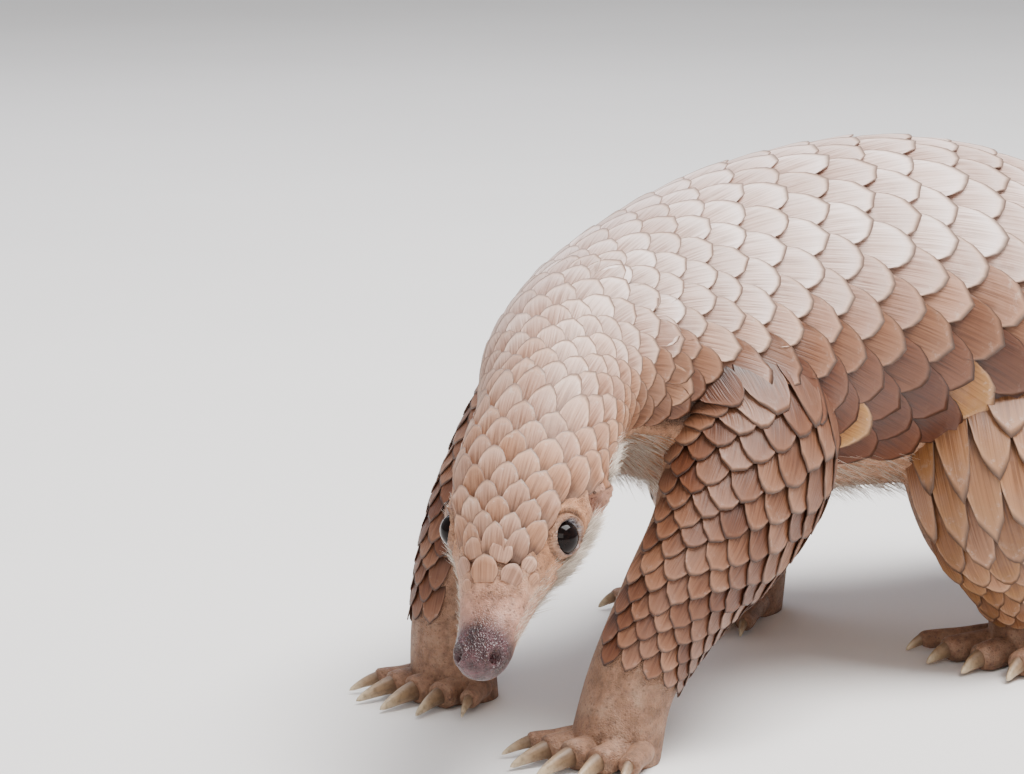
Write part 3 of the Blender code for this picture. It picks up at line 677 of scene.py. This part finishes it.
# Rings of a toe or a claw that reaches forwards, drops and bends down
def toeRings(start, heading, reach, drop, radii, sides, bends, flat=1.0):
    ahead = aheadOf(heading)
    across = np.cross(ahead, (0.0, 0.0, 1.0))
    rings = []
    for share, radius in radii:
        bend = bends[0] + (bends[1] - bends[0]) * share
        centre = start + ahead * reach * share - np.array((0, 0, drop * share**1.6))
        rise = np.array((0.0, 0.0, 1.0)) * math.cos(bend) + ahead * math.sin(bend)
        turn = turnsOf(sides)[:, None]
        rings.append(centre + (np.cos(turn) * flat * across + np.sin(turn) * rise) * radius)
    return rings


skinGrid = {"sides": 160, "headStep": 0.0005, "trunkStep": 0.0036, "tailStep": 0.0060, "ringsAtOnce": 40}


def bodySkin():
    places = [0.0]
    while places[-1] < body.length - 0.003:
        s = places[-1]
        stretch = "headStep" if s < body.nape else "trunkStep" if s < body.tailRoot else "tailStep"
        places.append(s + skinGrid[stretch])
    s, angle = np.meshgrid(places, turnsOf(skinGrid["sides"]), indexing="ij")
    points = body.point(s, angle)
    height = []
    for first in range(0, len(s), skinGrid["ringsAtOnce"]):
        some = slice(first, first + skinGrid["ringsAtOnce"])
        height.append(skinHeight(s[some], angle[some], points[some]))
    height = np.maximum(np.concatenate(height), -0.6 * body.radius(s))
    return s, angle, body.point(s, angle, height)


bodyS, bodyTurn, bodyPoints = bodySkin()
skinObject = loftMesh("pangolin_skin", bodyPoints, skinFinish)
print("body skin", len(skinObject.data.vertices))


legSkin = {"sides": 56, "step": 0.0018, "bare": 0.0006, "underScales": 0.60, "columns": 12}
toeForm = {"high": 0.0050, "apart": 0.85, "fill": 0.97, "fall": 0.0006, "bend": 0.3, "rings": 12, "sides": 20}
clawForm = {
    "inside": 0.0012, "above": 0.0013, "bend": 0.55, "thick": 0.66, "tip": 0.02, "narrow": 0.72,
    "rings": 16, "sides": 18,
}
# Where scales grow on the legs: shares of the length, then the middle and half width of the patch round it
legScales = (0.02, 0.76)
legPatch = {"fore": (math.radians(-80), math.radians(94)), "hind": (math.radians(-95), math.radians(112))}


def legScaledShare(kind, limb, s, angle):
    legMiddle, legArc = legPatch[kind]
    turned = foldedAngle(angle - legMiddle)
    along = s / limb.length
    lengthwise = smoothStep(along, 0.0, 0.05) * (1 - smoothStep(along, legScales[1] - 0.04, legScales[1]))
    return lengthwise * (1 - smoothStep(turned, legArc - 0.2, legArc))


def legSurface(kind, limb):
    places = np.append(np.arange(0, limb.length, legSkin["step"]), limb.length)
    s, angle = np.meshgrid(places, turnsOf(legSkin["sides"]), indexing="ij")
    covered = liftFor(limb, s, legSkin["columns"]) * legScaledShare(kind, limb, s, angle)
    return limb.point(s, angle, -legSkin["bare"] - legSkin["underScales"] * covered)


# A toe is knuckled along its length and rounded off at its end
def addToe(name, start, heading, reach, size, mirrored):
    radius = toeRadius * size * toeForm["fill"]
    shares = np.linspace(0, 0.93, toeForm["rings"])
    radii = [(share, radius * (1.15 - 0.20 * share + 0.05 * math.sin(9 * share))) for share in shares]
    radii += [(0.97, radius * 0.88), (1.0, radius * 0.70)]
    bends = (0, toeForm["bend"])
    rings = toeRings(start, heading, reach, toeForm["fall"], radii, toeForm["sides"], bends)
    limbParts.append(loftMesh(name, rings, skinFinish, mirrored))


# A claw grows out of the end of its toe, narrow from side to side and bent down almost to the floor
def addClaw(node, start, heading, reach, length, size, mirrored):
    bend, sides, count = toeForm["bend"], clawForm["sides"], clawForm["rings"]
    ahead = aheadOf(heading)
    inside = (ahead * math.cos(bend) - np.array((0, 0, math.sin(bend)))) * -clawForm["inside"]
    root = start + ahead * reach - np.array((0, 0, toeForm["fall"])) + inside
    shares = np.linspace(0, 1, count)
    radii = [(u, toeRadius * size * (clawForm["thick"] * (1 - u) ** 0.55 + clawForm["tip"])) for u in shares]
    fall, bends = root[2] - clawForm["above"], (bend, clawForm["bend"])
    rings = toeRings(root, heading, length, fall, radii, sides, bends, clawForm["narrow"])
    claw = loftMesh(f"{node}_horn", rings, clawFinish, mirrored)
    corners = cornerVertices(claw.data)
    around = np.append(np.tile(np.arange(sides) / sides, count), (0.5, 0.5))
    share = np.append(np.repeat(shares, sides), (0.0, 1.0))
    setCornerUV(claw.data, "clawUV", np.stack([around[corners], share[corners]], -1))
    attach(claw, "root")
    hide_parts(node)


limbParts = []
for (kind, side), limb in legs.items():
    mirrored = side == "right"
    limbParts.append(loftMesh(f"leg_{kind}_{side}", legSurface(kind, limb), skinFinish, mirrored))
    ankle = limb.row(limb.length)
    for number, (turn, aside, size) in enumerate(toes, start=1):
        heading = math.radians(turn)
        start = np.array((ankle[0], ankle[1] - aside * ankle[3] * toeForm["apart"], toeForm["high"]))
        reach, length = footLength[kind] * (0.75 + 0.25 * size), clawLength[kind] * size
        addToe(f"toe_{kind}_{side}_{number}", start, heading, reach, size, mirrored)
        addClaw(f"claw_{kind}_{side}_{number}", start, heading, reach, length, size, mirrored)
print("legs and claws", len(limbParts))


def evaluatedMesh(target):
    graph = bpy.context.evaluated_depsgraph_get()
    data = bpy.data.meshes.new_from_object(target.evaluated_get(graph))
    target.modifiers.clear()
    target.data = data
    return target


def surfaceTree(objects):
    points, faces = [], []
    for found in objects:
        base = len(points)
        points += [v.co.copy() for v in found.data.vertices]
        faces += [[base + i for i in polygon.vertices] for polygon in found.data.polygons]
    return BVHTree.FromPolygons(points, faces)


bodyTree = surfaceTree([skinObject])
limbTree = surfaceTree(limbParts)
joins = {"reach": 0.006, "above": 0.016, "behind": 0.17, "rounds": 24, "factor": 0.5}


# One skin: the legs and toes are fused with the body, and the joins are eased, but not on tail and feet
def fuseSkin():
    limbs = bpy.data.collections.new("limbs")
    for part in limbParts:
        limbs.objects.link(part)
    fuse = skinObject.modifiers.new("fuse", "BOOLEAN")
    fuse.operation, fuse.solver = "UNION", "MANIFOLD"
    fuse.operand_type, fuse.collection = "COLLECTION", limbs
    evaluatedMesh(skinObject)
    for part in limbParts:
        bpy.data.objects.remove(part)
    bpy.data.collections.remove(limbs)
    group = skinObject.vertex_groups.new(name="joins")
    for vert in skinObject.data.vertices:
        if vert.co.x > shift[0] + joins["behind"] or vert.co.z <= joins["above"]:
            continue
        toBody = bodyTree.find_nearest(vert.co, joins["reach"])[3]
        toLimb = limbTree.find_nearest(vert.co, joins["reach"])[3]
        if toBody is not None and toLimb is not None:
            group.add([vert.index], 1.0 - max(toBody, toLimb) / joins["reach"], "REPLACE")
    ease = skinObject.modifiers.new("ease", "SMOOTH")
    ease.vertex_group, ease.iterations, ease.factor = "joins", joins["rounds"], joins["factor"]
    evaluatedMesh(skinObject)
    skinObject.data.materials.clear()
    skinObject.data.materials.append(skinFinish)
    skinObject.data.shade_smooth()


fuseSkin()
print("skin fused", len(skinObject.data.vertices))


bodyGrid = KDTree(bodyS.size)
for index, point in enumerate(place(bodyPoints).reshape(-1, 3)):
    bodyGrid.insert(point, index)
bodyGrid.balance()


# Place along the body, angle round it and distance from it, for each point
def onBody(points):
    found = [bodyGrid.find(point) for point in points]
    index = np.array([hit[1] for hit in found])
    return bodyS.ravel()[index], bodyTurn.ravel()[index], np.array([hit[2] for hit in found])


# How far each kind of skin reaches: full at the first distance and gone at the second
zones = {
    "blush": (0.014, 0.034), "wetRim": (0.0049, 0.0056),
    "warmFrom": (0.0055, 0.0075), "warmTo": (0.0100, 0.0160), "earBlush": 0.0085,
    "earHole": (0.0026, 0.0040), "nostril": (0.0010, 0.0020), "limb": (0.003, 0.007),
}


def paintZones():
    data = skinObject.data
    points = np.empty(len(data.vertices) * 3, np.float32)
    data.vertices.foreach_get("co", points)
    points = points.reshape(-1, 3)
    s, angle, gap = onBody(points)
    close = gap < 0.004
    pink = 0.85 * (1 - smoothStep(s, *zones["blush"]))
    nose = 1 - smoothStep(s, 0.0080 + 0.003 * np.cos(angle), 0.0170 + 0.004 * np.cos(angle))
    warm, wetRim, line = (np.zeros(len(points)) for _ in range(3))
    for side in (1, -1):
        far = distance(points, place(headPoint(eyePlace, side * eyeAngle)))
        wetRim = np.maximum(wetRim, 1 - smoothStep(far, *zones["wetRim"]))
        # Painted shade in the lid creases, in the ear holes and in the nostrils
        line = np.maximum(line, 0.75 * hump(far, lids["crease"], 0.00045))
        line = np.maximum(line, 0.35 * hump(far, 0.0060, 0.0006))
        ring = smoothStep(far, *zones["warmFrom"]) * (1 - smoothStep(far, *zones["warmTo"]))
        warm = np.maximum(warm, 0.85 * ring)
        far = distance(points, place(headPoint(earPlace, side * earAngle)))
        pink = np.maximum(pink, 0.9 * hump(far, 0.0, zones["earBlush"]))
        far = distance(points, place(body.point(headLength * earPlace - earForm["ahead"], side * earAngle)))
        line = np.maximum(line, 1 - smoothStep(far, *zones["earHole"]))
        far = distance(points, place(body.point(nostril["place"], side * nostril["angle"])))
        line = np.maximum(line, 1 - smoothStep(far, *zones["nostril"]))
    # Painted shade: darker under the scales, near the floor and on the legs
    scaled = scaledShare(s, angle) * smoothStep(s, headScalesStart, headScalesStart + 0.012)
    dark = np.where(close, scaled, 0.0)
    floorShade = 0.25 * hump(points[:, 2], 0.0, 0.010) * (s < body.tailRoot)
    shinShade = 0.50 * smoothStep(gap, *zones["limb"])
    dark = np.maximum(dark * (1 - warm), np.maximum(floorShade, shinShade))
    setPointColour(data, "zone", np.stack([pink * close, warm * close, dark], -1))
    setPointColour(data, "face", np.stack([wetRim, line * close, nose * close], -1))


paintZones()
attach(skinObject, "root")
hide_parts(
    "head", "neck", "torso", "tail_root", "tail_front", "tail_middle", "tail_tip",
    "foreleg_left", "foreleg_right", "forefoot_left", "forefoot_right",
    "hindleg_left", "hindleg_right", "hindfoot_left", "hindfoot_right", "ear_left", "ear_right",
)
print("zones painted")


# Scales round the girth, step between rows in widths of a scale, length in steps, half angle of the coat
coats = {
    "head": {"columns": 14, "pitch": 0.56, "long": 2.8, "arc": 2.2},
    "trunk": {"columns": 18, "pitch": 0.54, "long": 2.9, "arc": bodyArc},
    "tail": {"columns": 15, "pitch": 0.72, "long": 2.6, "arc": 4.0},
    "fore": {"columns": 13, "pitch": 0.58, "long": 2.9},
    "hind": {"columns": 17, "pitch": 0.58, "long": 2.9},
}


# Spots in staggered rows: place along the tube, angle, width, row, column, step to the next row, and 0
# for an overlapping scale (1 for a loose flat one)
def scaleSpots(tube, start, end, coat, middle, halfArc):
    spots, columns = [], coat["columns"]
    s, row = start, 0
    while s < end:
        stretch = float(np.linalg.norm(tube.point(s + 0.001, middle) - tube.point(s - 0.001, middle)) / 0.002)
        width = 2 * math.pi * float(tube.radius(s)) / columns
        step = coat["pitch"] * width / min(max(stretch, 0.6), 2.2)
        for column in range(columns):
            angle = 2 * math.pi * (column + 0.5 * (row % 2)) / columns
            turned = (angle - middle + math.pi) % (2 * math.pi) - math.pi
            if abs(turned) <= halfArc:
                spots.append((s, middle + turned, width, row, column, step, 0.0))
        s += step
        row += 1
    return np.array(spots), row


acrossSteps = np.sin(np.linspace(-math.pi / 2, math.pi / 2, 9))
alongSteps = np.array((0.0, 0.16, 0.32, 0.48, 0.62, 0.74, 0.84, 0.93, 1.0))
plateForm = {
    "wide": 1.04, "root": 0.74, "tip": 0.14, "round": 0.33, "cusps": 0.030, "crown": 0.026,
    "sunk": 0.52, "raised": 0.40, "thick": 0.0009, "edge": 0.00012,
}


# Faces of one closed plate: its top, its underside and the wall round its edge
def plateFaces(rows, columns):
    each = rows * columns
    grid = np.arange(each).reshape(rows, columns)
    upper = np.stack([grid[:-1, :-1], grid[:-1, 1:], grid[1:, 1:], grid[1:, :-1]], -1).reshape(-1, 4)
    loop = np.concatenate([grid[0, :-1], grid[:-1, -1], grid[-1, :0:-1], grid[:0:-1, 0]])
    after = np.roll(loop, -1)
    walls = np.stack([after, loop, loop + each, after + each], -1)
    return np.concatenate([upper, upper[:, ::-1] + each, walls])


def flatOn(s, angle):
    return np.zeros(np.shape(s))


# Overlapping horn scales, each a thin closed plate, bent to the body and raised towards its worn tip
def makeScales(name, tube, spots, rows, coat, tilt, tones, mirrored=False, bulge=flatOn):
    count = len(spots)
    s0, angle0, width, row, column, pitch, loose = spots.T
    draw = rng.uniform(-1, 1, (9, count))
    # All values have the shape scale, step along, step across
    per = (slice(None), None, None)
    x, t = acrossSteps[None, None, :], alongSteps[None, :, None]
    width = width * (plateForm["wide"] + 0.05 * draw[0])
    length = pitch * coat["long"] * (1 + 0.06 * draw[1])
    turn = tilt(s0, angle0) + math.radians(2.5) * draw[2]
    lift = liftFor(tube, s0, solidColumns)
    wear = 0.5 + 0.5 * draw[3]
    # Outline: narrow at the root, widest before the rounded tip, with slight cusps where little worn
    cusp = plateForm["cusps"] * (1 - wear)[per] * np.cos(2 * math.pi * 1.33 * x)
    end = 1 - (plateForm["round"] + 0.05 * draw[4])[per] * np.abs(x) ** 2.2 + cusp + 0.02 * draw[5][per] * x
    root = plateForm["root"]
    side = root + (1 - root) * smoothStep(t, 0.0, 0.5) - plateForm["tip"] * smoothStep(t, 0.65, 1.0)
    along = length[per] * t * end
    across = width[per] / 2 * x * side
    sNow = s0[per] - 0.75 * pitch[per] + along * np.cos(turn)[per] - across * np.sin(turn)[per]
    arc = along * np.sin(turn)[per] + across * np.cos(turn)[per]
    turned = angle0[per] + arc / tube.radius(np.clip(sNow, 0, tube.length))
    # Height: the root is under the skin, the tip stands clear, the middle is crowned, the edge thin
    sunk = (0.22 * loose - plateForm["sunk"]) * lift
    raised = (plateForm["raised"] + 0.07 * draw[6] - 0.36 * loose) * lift
    thick = np.minimum(plateForm["thick"], 0.045 * width + 0.0002)
    crown = plateForm["crown"] * width[per] * ((1 - x**2) * smoothStep(t, 0.1, 0.6) - 1)
    top = sunk[per] + (raised - sunk)[per] * t**0.9 + crown + bulge(sNow, turned)
    rim = np.clip(1 - 0.75 * np.abs(x) ** 3, 0, 1) * (1 - 0.55 * smoothStep(t, 0.7, 1.0))
    bottom = top - thick[per] * rim - plateForm["edge"]
    sNow = np.minimum(sNow, tube.length)
    points = np.stack([tube.point(sNow, turned, top), tube.point(sNow, turned, bottom)], 1)
    shape = points.shape[:-1]
    each = 2 * len(alongSteps) * len(acrossSteps)
    faces = plateFaces(len(alongSteps), len(acrossSteps))
    if mirrored:
        faces = faces[:, ::-1]
    faces = (faces[None] + each * np.arange(count)[:, None, None]).reshape(-1, 4)
    made = meshObject(name, place(points.reshape(-1, 3), mirrored), faces, scaleFinish)
    corners = cornerVertices(made.data)
    own = np.stack([np.broadcast_to(across[:, None], shape), np.broadcast_to(t, shape)], -1).reshape(-1, 2)
    setCornerUV(made.data, "scaleUV", own[corners])
    # Each scale bakes into a cell of its own: the top fills most of it, the underside a strip beside it
    strips = ((0.03, 0.80), (0.86, 0.11))
    u = np.stack([(column[per] + first + wide * (x + 1) / 2) / coat["columns"] for first, wide in strips], 1)
    v = (row[per] + 0.04 + 0.92 * t)[:, None] / rows
    bake = np.stack([np.broadcast_to(u, shape), np.broadcast_to(v, shape)], -1).reshape(-1, 2)
    setCornerUV(made.data, "OFBake", bake[corners])
    made.data.uv_layers.active = made.data.uv_layers["OFBake"]
    # The third tone is painted shade on the lower flanks and legs
    pale, amber, low = tones(s0, angle0, draw[7])
    tone = np.clip(np.stack([pale, amber, 0.5 + 0.5 * draw[8]], -1), 0, 1)
    setPointColour(made.data, "tone", np.repeat(tone, each, axis=0))
    rim = np.broadcast_to(np.maximum(np.abs(x) ** 1.5, t), shape).ravel()
    low, loose = np.repeat(np.clip(low, 0, 1), each), np.repeat(loose, each)
    setPointColour(made.data, "plate", np.stack([rim, low, loose], -1))
    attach(made, "root")
    print(name, count, "scales")


skinTree = surfaceTree([skinObject])
drape = {
    "reach": 0.026, "deep": 0.006, "starts": 0.0004, "highest": 0.0125, "over": 0.0007,
    "most": 0.0085, "steep": 0.0042, "legsFrom": 0.0010,
}


# How far the one skin stands out over a leg, above the body's own skin: the scales lie over it
def skinBulge(s, angle):
    starts = place(body.point(s, angle, drape["reach"])).reshape(-1, 3)
    inwards = -body.outward(s, angle).reshape(-1, 3)
    longest = drape["reach"] + drape["deep"]
    found = []
    for start, inward in zip(starts, inwards):
        far = skinTree.ray_cast(Vector(start), Vector(inward), longest)[3]
        found.append(longest if far is None else drape["reach"] - far)
    bulge = np.array(found).reshape(np.shape(s)) - sunkenSkin(s, angle)
    bulge = np.clip(bulge - drape["starts"], 0.0, drape["highest"])
    return bulge + drape["over"] * smoothStep(bulge, 0.0, 0.002)


# False for scales that would be stretched over the steep front or back of a leg
def lieEvenly(spots):
    s, angle, width, pitch = spots[:, 0], spots[:, 1], spots[:, 2], spots[:, 5]
    aside = 0.45 * width / body.radius(s)
    places = ((0.4, 0.0), (1.3, 0.0), (2.0, 0.0), (1.0, 1.0), (1.0, -1.0))
    heights = np.array([skinBulge(s + along * pitch, angle + sideways * aside) for along, sideways in places])
    return (heights[2] < drape["most"]) & (heights.max(0) - heights.min(0) < drape["steep"])


# The leg's own scales begin where its surface is well clear of the body's scaled back and flank
def clearOfBody(points):
    s, angle, _ = onBody(points)
    middle = place(body.point(s, angle))
    height = ((points - middle) * body.outward(s, angle)).sum(-1)
    return (height > drape["legsFrom"]) | (foldedAngle(angle) > bodyArc - 0.10)


def bodyTilt(s, angle):
    return np.radians(10 + 14 * smoothStep(s, body.nape, body.nape + 0.06)) * np.sin(angle)


def tailTilt(s, angle):
    return math.radians(7) * np.sin(angle)


# How pale, how amber and how dark each scale is, by where it grows: the pale top of the back is partly wear
# and partly a painted highlight, the darker lower flanks are painted shade
def bodyTones(s, angle, draw):
    turned = foldedAngle(angle)
    along = (s - body.nape) / (body.tailRoot - body.nape)
    tail = smoothStep(along, 0.72, 1.25)
    # Painted highlight in part: scales on the top of the back are paler, as if lit from above
    onBack = 0.34 + 0.78 * smoothStep(np.cos(turned), 0.15, 0.80) * smoothStep(along, -0.06, 0.26)
    pale = 0.12 + (onBack - 0.12) * smoothStep(along, -0.12, 0.06) - 0.45 * smoothStep(turned, 0.90, 1.5)
    pale = pale + (0.42 + 0.36 * np.cos(turned) - pale) * tail + 0.13 * draw
    low = smoothStep(turned, 1.30, 1.95)
    amber = low * smoothStep(along, 0.40, 0.70) * (0.40 + 0.40 * draw)
    amber = amber + 0.85 * (draw > 0.80) * low * (along > 0.2) + 0.06 * (draw > 0.7)
    # Painted shade on the lower flanks and shoulder
    dark = smoothStep(turned, 0.95, 1.7) * smoothStep(along, -0.05, 0.2) * (1 - 0.9 * (draw > 0.80))
    return pale, amber * (1 - 0.6 * tail), dark * (1 - 0.45 * tail)


# How pale, how amber and how dark the scales of a leg are, each with how much it varies: the darkness is
# painted shade
legTones = {
    "fore": ((0.08, 0.12), (0.08, 0.12), (0.80, 0.20)),
    "hind": ((0.06, 0.08), (0.50, 0.40), (0.55, 0.20)),
}
# How far scales and hair stay from the middle of the eye and of the ear
faceGaps = {"scales": (0.0105, 0.0100), "hair": (0.0068, 0.0085)}
# Small loose scales at the base of the muzzle: share of the head's length, degrees round it, width
muzzleScales = (
    (0.322, -8, 0.0088), (0.325, 30, 0.0066), (0.352, -42, 0.0056), (0.378, 47, 0.0050),
    (0.385, 10, 0.0070), (0.395, -24, 0.0066), (0.286, -36, 0.0040), (0.350, 62, 0.0036),
)
headCoatStart = 0.40 * headLength
neckEnd = body.nape + 0.044


def clearOfFace(s, angle, kind):
    points = body.point(s, foldedAngle(angle))
    fromEye = distance(points, headPoint(eyePlace, eyeAngle))
    fromEar = distance(points, headPoint(earPlace, earAngle))
    return (fromEye > faceGaps[kind][0]) & (fromEar > faceGaps[kind][1])


def insideArc(spots):
    return foldedAngle(spots[:, 1]) < scaledArc(spots[:, 0])


coat = coats["head"]
spots, rows = scaleSpots(body, headCoatStart, neckEnd, coat, 0.0, coat["arc"])
clear = insideArc(spots) & clearOfFace(spots[:, 0] + 0.4 * spots[:, 5], spots[:, 1], "scales")
spots = spots[clear & ((spots[:, 0] < body.nape) | lieEvenly(spots))]
loose = np.array([
    (share * headLength, math.radians(turn), width, rows + 1, number, 0.29 * width, 1.0)
    for number, (share, turn, width) in enumerate(muzzleScales)
])
spots = np.concatenate([loose, spots])
makeScales("scales_head", body, spots, rows + 2, coat, bodyTilt, bodyTones, bulge=skinBulge)
coat = coats["trunk"]
spots, rows = scaleSpots(body, neckEnd - 0.002, body.tailRoot + 0.004, coat, 0.0, coat["arc"])
spots = spots[insideArc(spots) & lieEvenly(spots)]
makeScales("scales_trunk", body, spots, rows, coat, bodyTilt, bodyTones, bulge=skinBulge)
coat = coats["tail"]
spots, rows = scaleSpots(body, body.tailRoot, body.length - 0.010, coat, 0.0, coat["arc"])
half = spots[:, 0] < np.median(spots[:, 0])
makeScales("scales_tail_front", body, spots[half], rows, coat, tailTilt, bodyTones)
makeScales("scales_tail_back", body, spots[~half], rows, coat, tailTilt, bodyTones)
for (kind, side), limb in legs.items():
    mirrored, coat = side == "right", coats[kind]
    start, end = (limb.length * share for share in legScales)
    spots, rows = scaleSpots(limb, start, end, coat, *legPatch[kind])
    clear = clearOfBody(place(limb.point(spots[:, 0] + 1.2 * spots[:, 5], spots[:, 1]), mirrored))
    makeScales(
        f"scales_{kind}leg_{side}", limb, spots[clear], rows, coat, flatOn,
        lambda s, angle, draw: [middle + varies * draw for middle, varies in legTones[kind]], mirrored,
    )


hairShares = np.array((0.0, 0.30, 0.62, 1.0))
hairTaper = np.array((1.0, 0.85, 0.55, 0.10))


# Pale guard hairs, each a thin tapering blade that lies back along the skin
def makeHair(name, roots, lie, out, length, radius, uv, droop):
    count = len(roots)
    t = hairShares[None, :, None]
    start = unit(lie + 0.45 * out)
    path = roots[:, None] + start[:, None] * (length[:, None, None] * t)
    path = path + (lie[:, None] * 0.25 + np.array((0, 0, -1.0)) * droop) * length[:, None, None] * t**2
    sideways = unit(np.cross(start, out))
    upwards = np.cross(sideways, start)
    turn = turnsOf(3)[:, None]
    ring = np.cos(turn) * sideways[:, None] + np.sin(turn) * upwards[:, None]
    thick = radius[:, None] * hairTaper
    points = path[:, :, None] + ring[:, None] * thick[..., None, None]
    faces = gridFaces(4, 3).tolist() + [(9, 10, 11), (2, 1, 0)]
    every = [tuple(base + corner for corner in face) for base in range(0, count * 12, 12) for face in faces]
    made = meshObject(name, place(points.reshape(-1, 3)), every, hairFinish)
    corners = cornerVertices(made.data)
    patch = np.stack([np.tile(np.arange(3) / 3, 4), np.repeat(hairShares, 3)], -1) * 0.003
    bake = (np.clip(uv, 0.001, 0.995)[:, None] + patch[None]).reshape(-1, 2)
    setCornerUV(made.data, "OFBake", bake[corners])
    tone = np.zeros((count, 12, 3))
    tone[..., 0] = np.repeat(hairShares, 3)
    tone[..., 2] = rng.uniform(0, 1, (count, 1))
    setPointColour(made.data, "tone", tone.reshape(-1, 3))
    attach(made, "root")
    print(name, count, "hairs")


# Hairs strewn over a stretch of the body, on both sides alike, and on the face clear of eyes and ears
def bodyHair(name, count, sRange, angleRange, lengths, radius, droop, onFace=False):
    s = rng.uniform(*sRange, count)
    angle = rng.uniform(*angleRange, count)
    angle = angle * rng.choice((-1.0, 1.0), count)
    if onFace:
        clear = clearOfFace(s, angle, "hair")
        s, angle = s[clear], angle[clear]
    count = len(s)
    points = body.point(s, angle)
    height = skinHeight(s, angle % (2 * math.pi), points)
    roots = body.point(s, angle, height - 0.0002)
    out = body.outward(s, angle)
    lie = unit(body.point(s + 0.002, angle) - points)
    lie = unit(lie + rng.normal(0, 0.16, (count, 3)))
    length = rng.uniform(*lengths, count)
    uv = np.stack([(angle % (2 * math.pi)) / (2 * math.pi), s / body.length], -1)
    makeHair(name, roots, lie, out, length, radius * rng.uniform(0.7, 1.2, count), uv, droop)


cheek, throat = (0.036, body.nape - 0.002), (0.024, body.nape + 0.05)
muzzle, belly = (0.012, 0.040), (body.nape + 0.04, body.tailRoot - 0.01)
bodyHair("hair_cheeks", 9000, cheek, (1.62, 2.55), (0.003, 0.0068), 0.00011, 0.10, onFace=True)
bodyHair("hair_throat", 3200, throat, (2.2, math.pi), (0.004, 0.008), 0.00009, 0.15)
bodyHair("hair_muzzle", 2200, muzzle, (1.3, math.pi), (0.0012, 0.0028), 0.00005, 0.0, onFace=True)
bodyHair("hair_belly", 4200, belly, (2.30, math.pi), (0.006, 0.011), 0.00010, 0.15)


eyes = {"rings": 32, "sides": 48, "radius": 0.985 * eyeRadius}
for side, word in ((1, "left"), (-1, "right")):
    low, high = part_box(f"eye_{word}")
    centre = (low + high) / 2
    bpy.ops.mesh.primitive_uv_sphere_add(
        segments=eyes["sides"], ring_count=eyes["rings"], radius=eyes["radius"], location=centre
    )
    ball = bpy.context.object
    ball.name = f"eyeball_{word}"
    ball.data.transform(ball.matrix_world)
    ball.matrix_world.identity()
    ball.data.shade_smooth()
    ball.data.materials.append(eyeFinish)
    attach(ball, "root")
    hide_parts(f"eye_{word}")


bpy.ops.mesh.primitive_plane_add(size=24.0, location=(0.0, 0.0, 0.0))
floor = bpy.context.object
floor.name = "studio_floor"
floor.data.materials.append(paper())


# The camera of the photo, from the animal's own place
view = {
    "lens": 135, "sensor": 36, "place": (-0.94915, -0.79086, 0.30773), "look": (0.70841, 0.68410, -0.17365),
}
camera = bpy.data.objects.new("camera", bpy.data.cameras.new("camera"))
scene.collection.objects.link(camera)
camera.data.lens = view["lens"]
camera.data.sensor_width = view["sensor"]
camera.data.clip_end = 60
camera.location = Vector(view["place"]) + Vector(shift)
camera.rotation_euler = Vector(view["look"]).to_track_quat("-Z", "Y").to_euler()
scene.camera = camera


def softBox(name, where, target, size, watts, code):
    light = bpy.data.objects.new(name, bpy.data.lights.new(name, "AREA"))
    scene.collection.objects.link(light)
    light.location = where
    light.rotation_euler = (Vector(target) - Vector(where)).to_track_quat("-Z", "Y").to_euler()
    light.data.shape = "RECTANGLE"
    light.data.size, light.data.size_y = size
    light.data.energy = watts
    light.data.color = linear(code)[:3]


softBox("key_softbox", (0.2, -0.5, 1.9), (0.0, 0.0, 0.1), (1.6, 1.2), 112, "#fffcfa")
softBox("fill_softbox", (-1.8, -1.2, 0.9), (-0.1, 0.0, 0.1), (1.2, 1.0), 15, "#fff6ee")
softBox("rim_softbox", (0.6, 1.6, 1.3), (0.0, 0.0, 0.1), (1.2, 0.8), 10, "#eef0ff")
world = bpy.data.worlds.new("studio")
scene.world = world
world.use_nodes = True
backdrop = world.node_tree.nodes["Background"]
backdrop.inputs["Color"].default_value = linear("#e9e9ee")
backdrop.inputs["Strength"].default_value = 0.62
